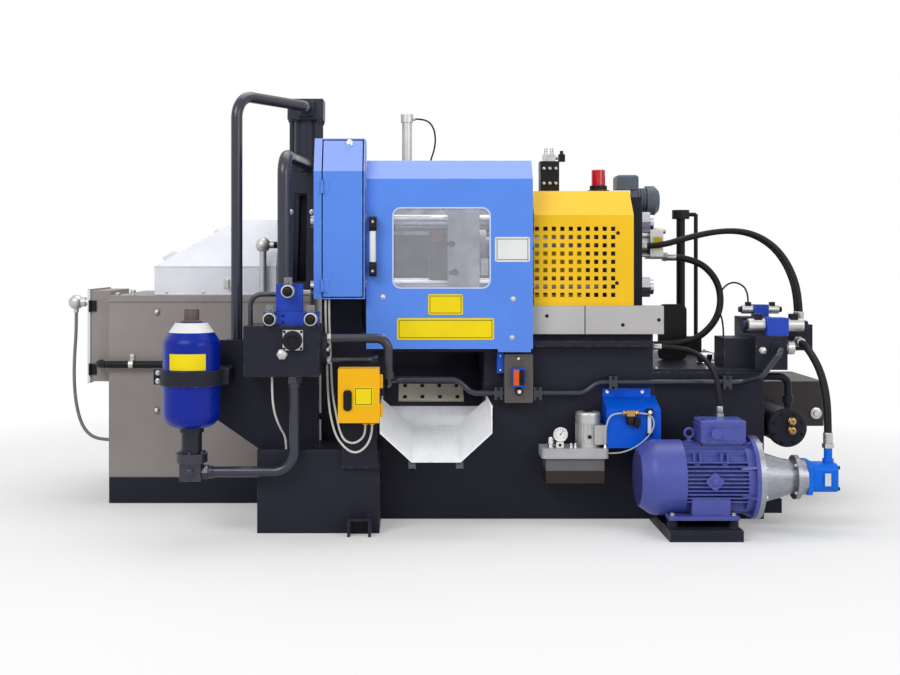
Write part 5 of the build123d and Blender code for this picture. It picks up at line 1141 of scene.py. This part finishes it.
# Ends of the two valves: face, side, axis and size
VALVES = ((-475, 743, 1.0), (-260, 793, 0.7))
VALVE_SIDES = [(VALVE_X + side * VALVE_HALF * k, side, y, z, k) for y, z, k in VALVES for side in (-1, 1)]


def scaled(profile, k):
    return [(along * k, radius * k) for along, radius in profile]


@shown("aluminium")
def coil_sleeves(bm):
    sleeve = [(0, 23), (0, 24.6), (61, 24.6), (63.4, 22), (63.6, 15)]
    for face, side, y, z, k in VALVE_SIDES:
        lathe(bm, (face + side * 3 * k, y, z), (side, 0, 0), scaled(sleeve, k), 40)


@shown("black", bevel=1.5)
def coil_caps(bm):
    cap = [(0, 16.4), (13, 16.4), (16, 14), (16.6, 6)]
    for face, side, y, z, k in VALVE_SIDES:
        lathe(bm, (face + side * 66 * k, y, z), (side, 0, 0), scaled(cap, k), 32)
        x, half = face + side * 28 * k, 15 * k
        cuboid(bm, (x - half, y - half, z + 12 * k), (x + half, y + half, z + 42.6 * k))


@shown("brass")
def cooler_ports(bm):
    for z in (339, 374):
        hex_nut(bm, (1319, COOLER_FRONT, z), FRONT, 16.6, 14, 2.6)
        lathe(bm, (1319, COOLER_FRONT - 16, z), FRONT, [(0, 13), (8, 13), (9, 11), (9, 6), (2, 5.5)], 24)


heads("cooler_bolts", bolt, FRONT, 5.5, 6,
      [(COOLER_X + x, COOLER_FRONT, COOLER_Z + z) for x, z in circle(8, 58, 22.5)], finish="black")


@shown("zinc")
def return_disc(bm):
    lathe(bm, (1530, -100, 359), FRONT, [(0, 24), (6, 24), (8, 20), (8, 12), (14, 11)], 36)


@shown("motor", bevel=0)
def motor_eye(bm):
    lathe(bm, (878, MOTOR_Y, 328), UP, [(0, 17), (5, 17), (7, 9), (16, 8)], 28)
    torus(bm, (878, MOTOR_Y, 361), BACK, 16, 5)


@shown("motor", bevel=1.5)
def motor_boss(bm):
    rounded(bm, (942, -830, 205), (1, 0, 1), (-1, 0, 1), 50, 50, 8, 6)
    lathe(bm, (942, -836, 205), FRONT, [(0, 13), (5, 13), (7, 10)], 32)
    for x in (870, 968):
        for low, high, top in ((0, 8, 300), (22, 30, 300), (0, 30, 266)):
            cuboid(bm, (x + low, -806, 258), (x + high, -772, top))


@shown("motor_dark", bevel=0)
def cowl_grille(bm):
    reach, pitch, slant = 96, 9, 0.707
    along, across = Vector((0, slant, slant)), Vector((0, slant, -slant))
    for k in range(-10, 11):
        half = math.sqrt(reach ** 2 - (pitch * k) ** 2)
        middle = Vector((689, MOTOR_Y, MOTOR_Z)) + across * pitch * k
        rod(bm, middle - along * half, middle + along * half, 2.2, 8, 0.4)


heads("flange_bolts", bolt, RIGHT, 8, 8, [(1122, MOTOR_Y + y, MOTOR_Z + z) for y, z in circle(8, 136, 22.5)])
heads("nose_bolts", bolt, LEFT, 6, 7, [(1257, MOTOR_Y + y, MOTOR_Z + z) for y, z in circle(4, 70, 45)])
heads("foot_bolts", bolt, UP, 8, 8, product((795, 1013), (MOTOR_Y - 108, MOTOR_Y + 108), [82]))


@shown("motor", bevel=1)
def terminal_seams(bm):
    for z in (338, 391):
        rounded(bm, (TERMINAL_X, MOTOR_Y, z), RIGHT, BACK, 169, 129, 10, 4)


heads("terminal_screws", cap_screw, UP, 5, 4,
      product((TERMINAL_X - 70, TERMINAL_X + 70), (MOTOR_Y - 50, MOTOR_Y + 50), [TERMINAL_TOP]),
      finish="motor_dark")
heads("pump_bolts", cap_screw, RIGHT, 7, 8,
      product([1407], (MOTOR_Y - 38, MOTOR_Y + 38), (164, 240)), finish="black")


@shown("anthracite", bevel=2)
def skid_block(bm):
    cuboid(bm, (1110, -560, 40), (1258, -470, 94))


@shown("label_silver", bevel=0.2)
def pump_plate(bm):
    front_plate(bm, 1366, -759, 200, 22, 46, 2, 1.2)


# Floor, light and sky
FLOOR_HALF, FADE_START, FADE_END = 40, 1.5, 3.4


def background_rays(tree):
    """1 for rays that look at the backdrop, also in a gloss or through a pane, and 0 for the light."""
    path = tree.nodes.new("ShaderNodeLightPath")
    seen = math_of(tree, path.outputs["Is Camera Ray"], path.outputs["Is Glossy Ray"], "MAXIMUM")
    return math_of(tree, seen, path.outputs["Is Transmission Ray"], "MAXIMUM")


def floor_paint():
    """Pale floor that keeps the shadow near the machine and runs out into white."""
    material = surface("studio_floor_paint", rgb(238, 238, 237), 0.7, tone=0.015, patch=0.6, bump=0.01)
    tree = material.node_tree
    place = tree.nodes.new("ShaderNodeTexCoord").outputs["Object"]
    far = tree.nodes.new("ShaderNodeVectorMath")
    far.operation = "LENGTH"
    link(tree, place, far.inputs[0])
    fade = ramp_of(tree, far.outputs["Value"], FADE_START, FADE_END, 0.25, 1.0)
    glow = tree.nodes.new("ShaderNodeEmission")
    both = tree.nodes.new("ShaderNodeMixShader")
    link(tree, math_of(tree, fade, background_rays(tree)), both.inputs[0])
    link(tree, tree.nodes["Principled BSDF"].outputs[0], both.inputs[1])
    link(tree, glow.outputs[0], both.inputs[2])
    link(tree, both.outputs[0], tree.nodes["Material Output"].inputs["Surface"])
    return material


floor_mesh = bpy.data.meshes.new("studio_floor")
floor_mesh.from_pydata([(x * FLOOR_HALF, y * FLOOR_HALF, 0) for x, y in ((-1, -1), (1, -1), (1, 1), (-1, 1))],
                       [], [(0, 1, 2, 3)])
floor = added("studio_floor", floor_mesh)
floor_mesh.materials.append(floor_paint())


def area_light(name, place, aim, size, power):
    light = bpy.data.lights.new(name, "AREA")
    light.shape = "RECTANGLE"
    light.size, light.size_y = size
    light.energy = power
    obj = added(name, light)
    obj.location = place
    obj.rotation_euler = (Vector(aim) - Vector(place)).to_track_quat("-Z", "Y").to_euler()


area_light("key_light", (-2.6, -4.6, 4.2), (0, 0, 0.7), (3.2, 2.4), 150)
area_light("fill_light", (3.6, -4.4, 2.6), (0.2, 0, 0.6), (3.0, 2.4), 70)
area_light("top_light", (0.2, 0.6, 4.6), (0, 0, 0.8), (4.0, 3.0), 96)

world = bpy.data.worlds.new("studio_sky")
bpy.context.scene.world = world
world.use_nodes = True
sky = world.node_tree
sky_light = sky.nodes["Background"]
fill(sky_light, {"Color": (0.95, 0.97, 1.0, 1.0), "Strength": 0.42})
sky_seen = sky.nodes.new("ShaderNodeBackground")
fill(sky_seen, {"Color": (1, 1, 1, 1), "Strength": 1.0})
both = sky.nodes.new("ShaderNodeMixShader")
link(sky, background_rays(sky), both.inputs[0])
link(sky, sky_light.outputs[0], both.inputs[1])
link(sky, sky_seen.outputs[0], both.inputs[2])
link(sky, both.outputs[0], sky.nodes["World Output"].inputs["Surface"])
bpy.context.scene.view_settings.view_transform = "Standard"
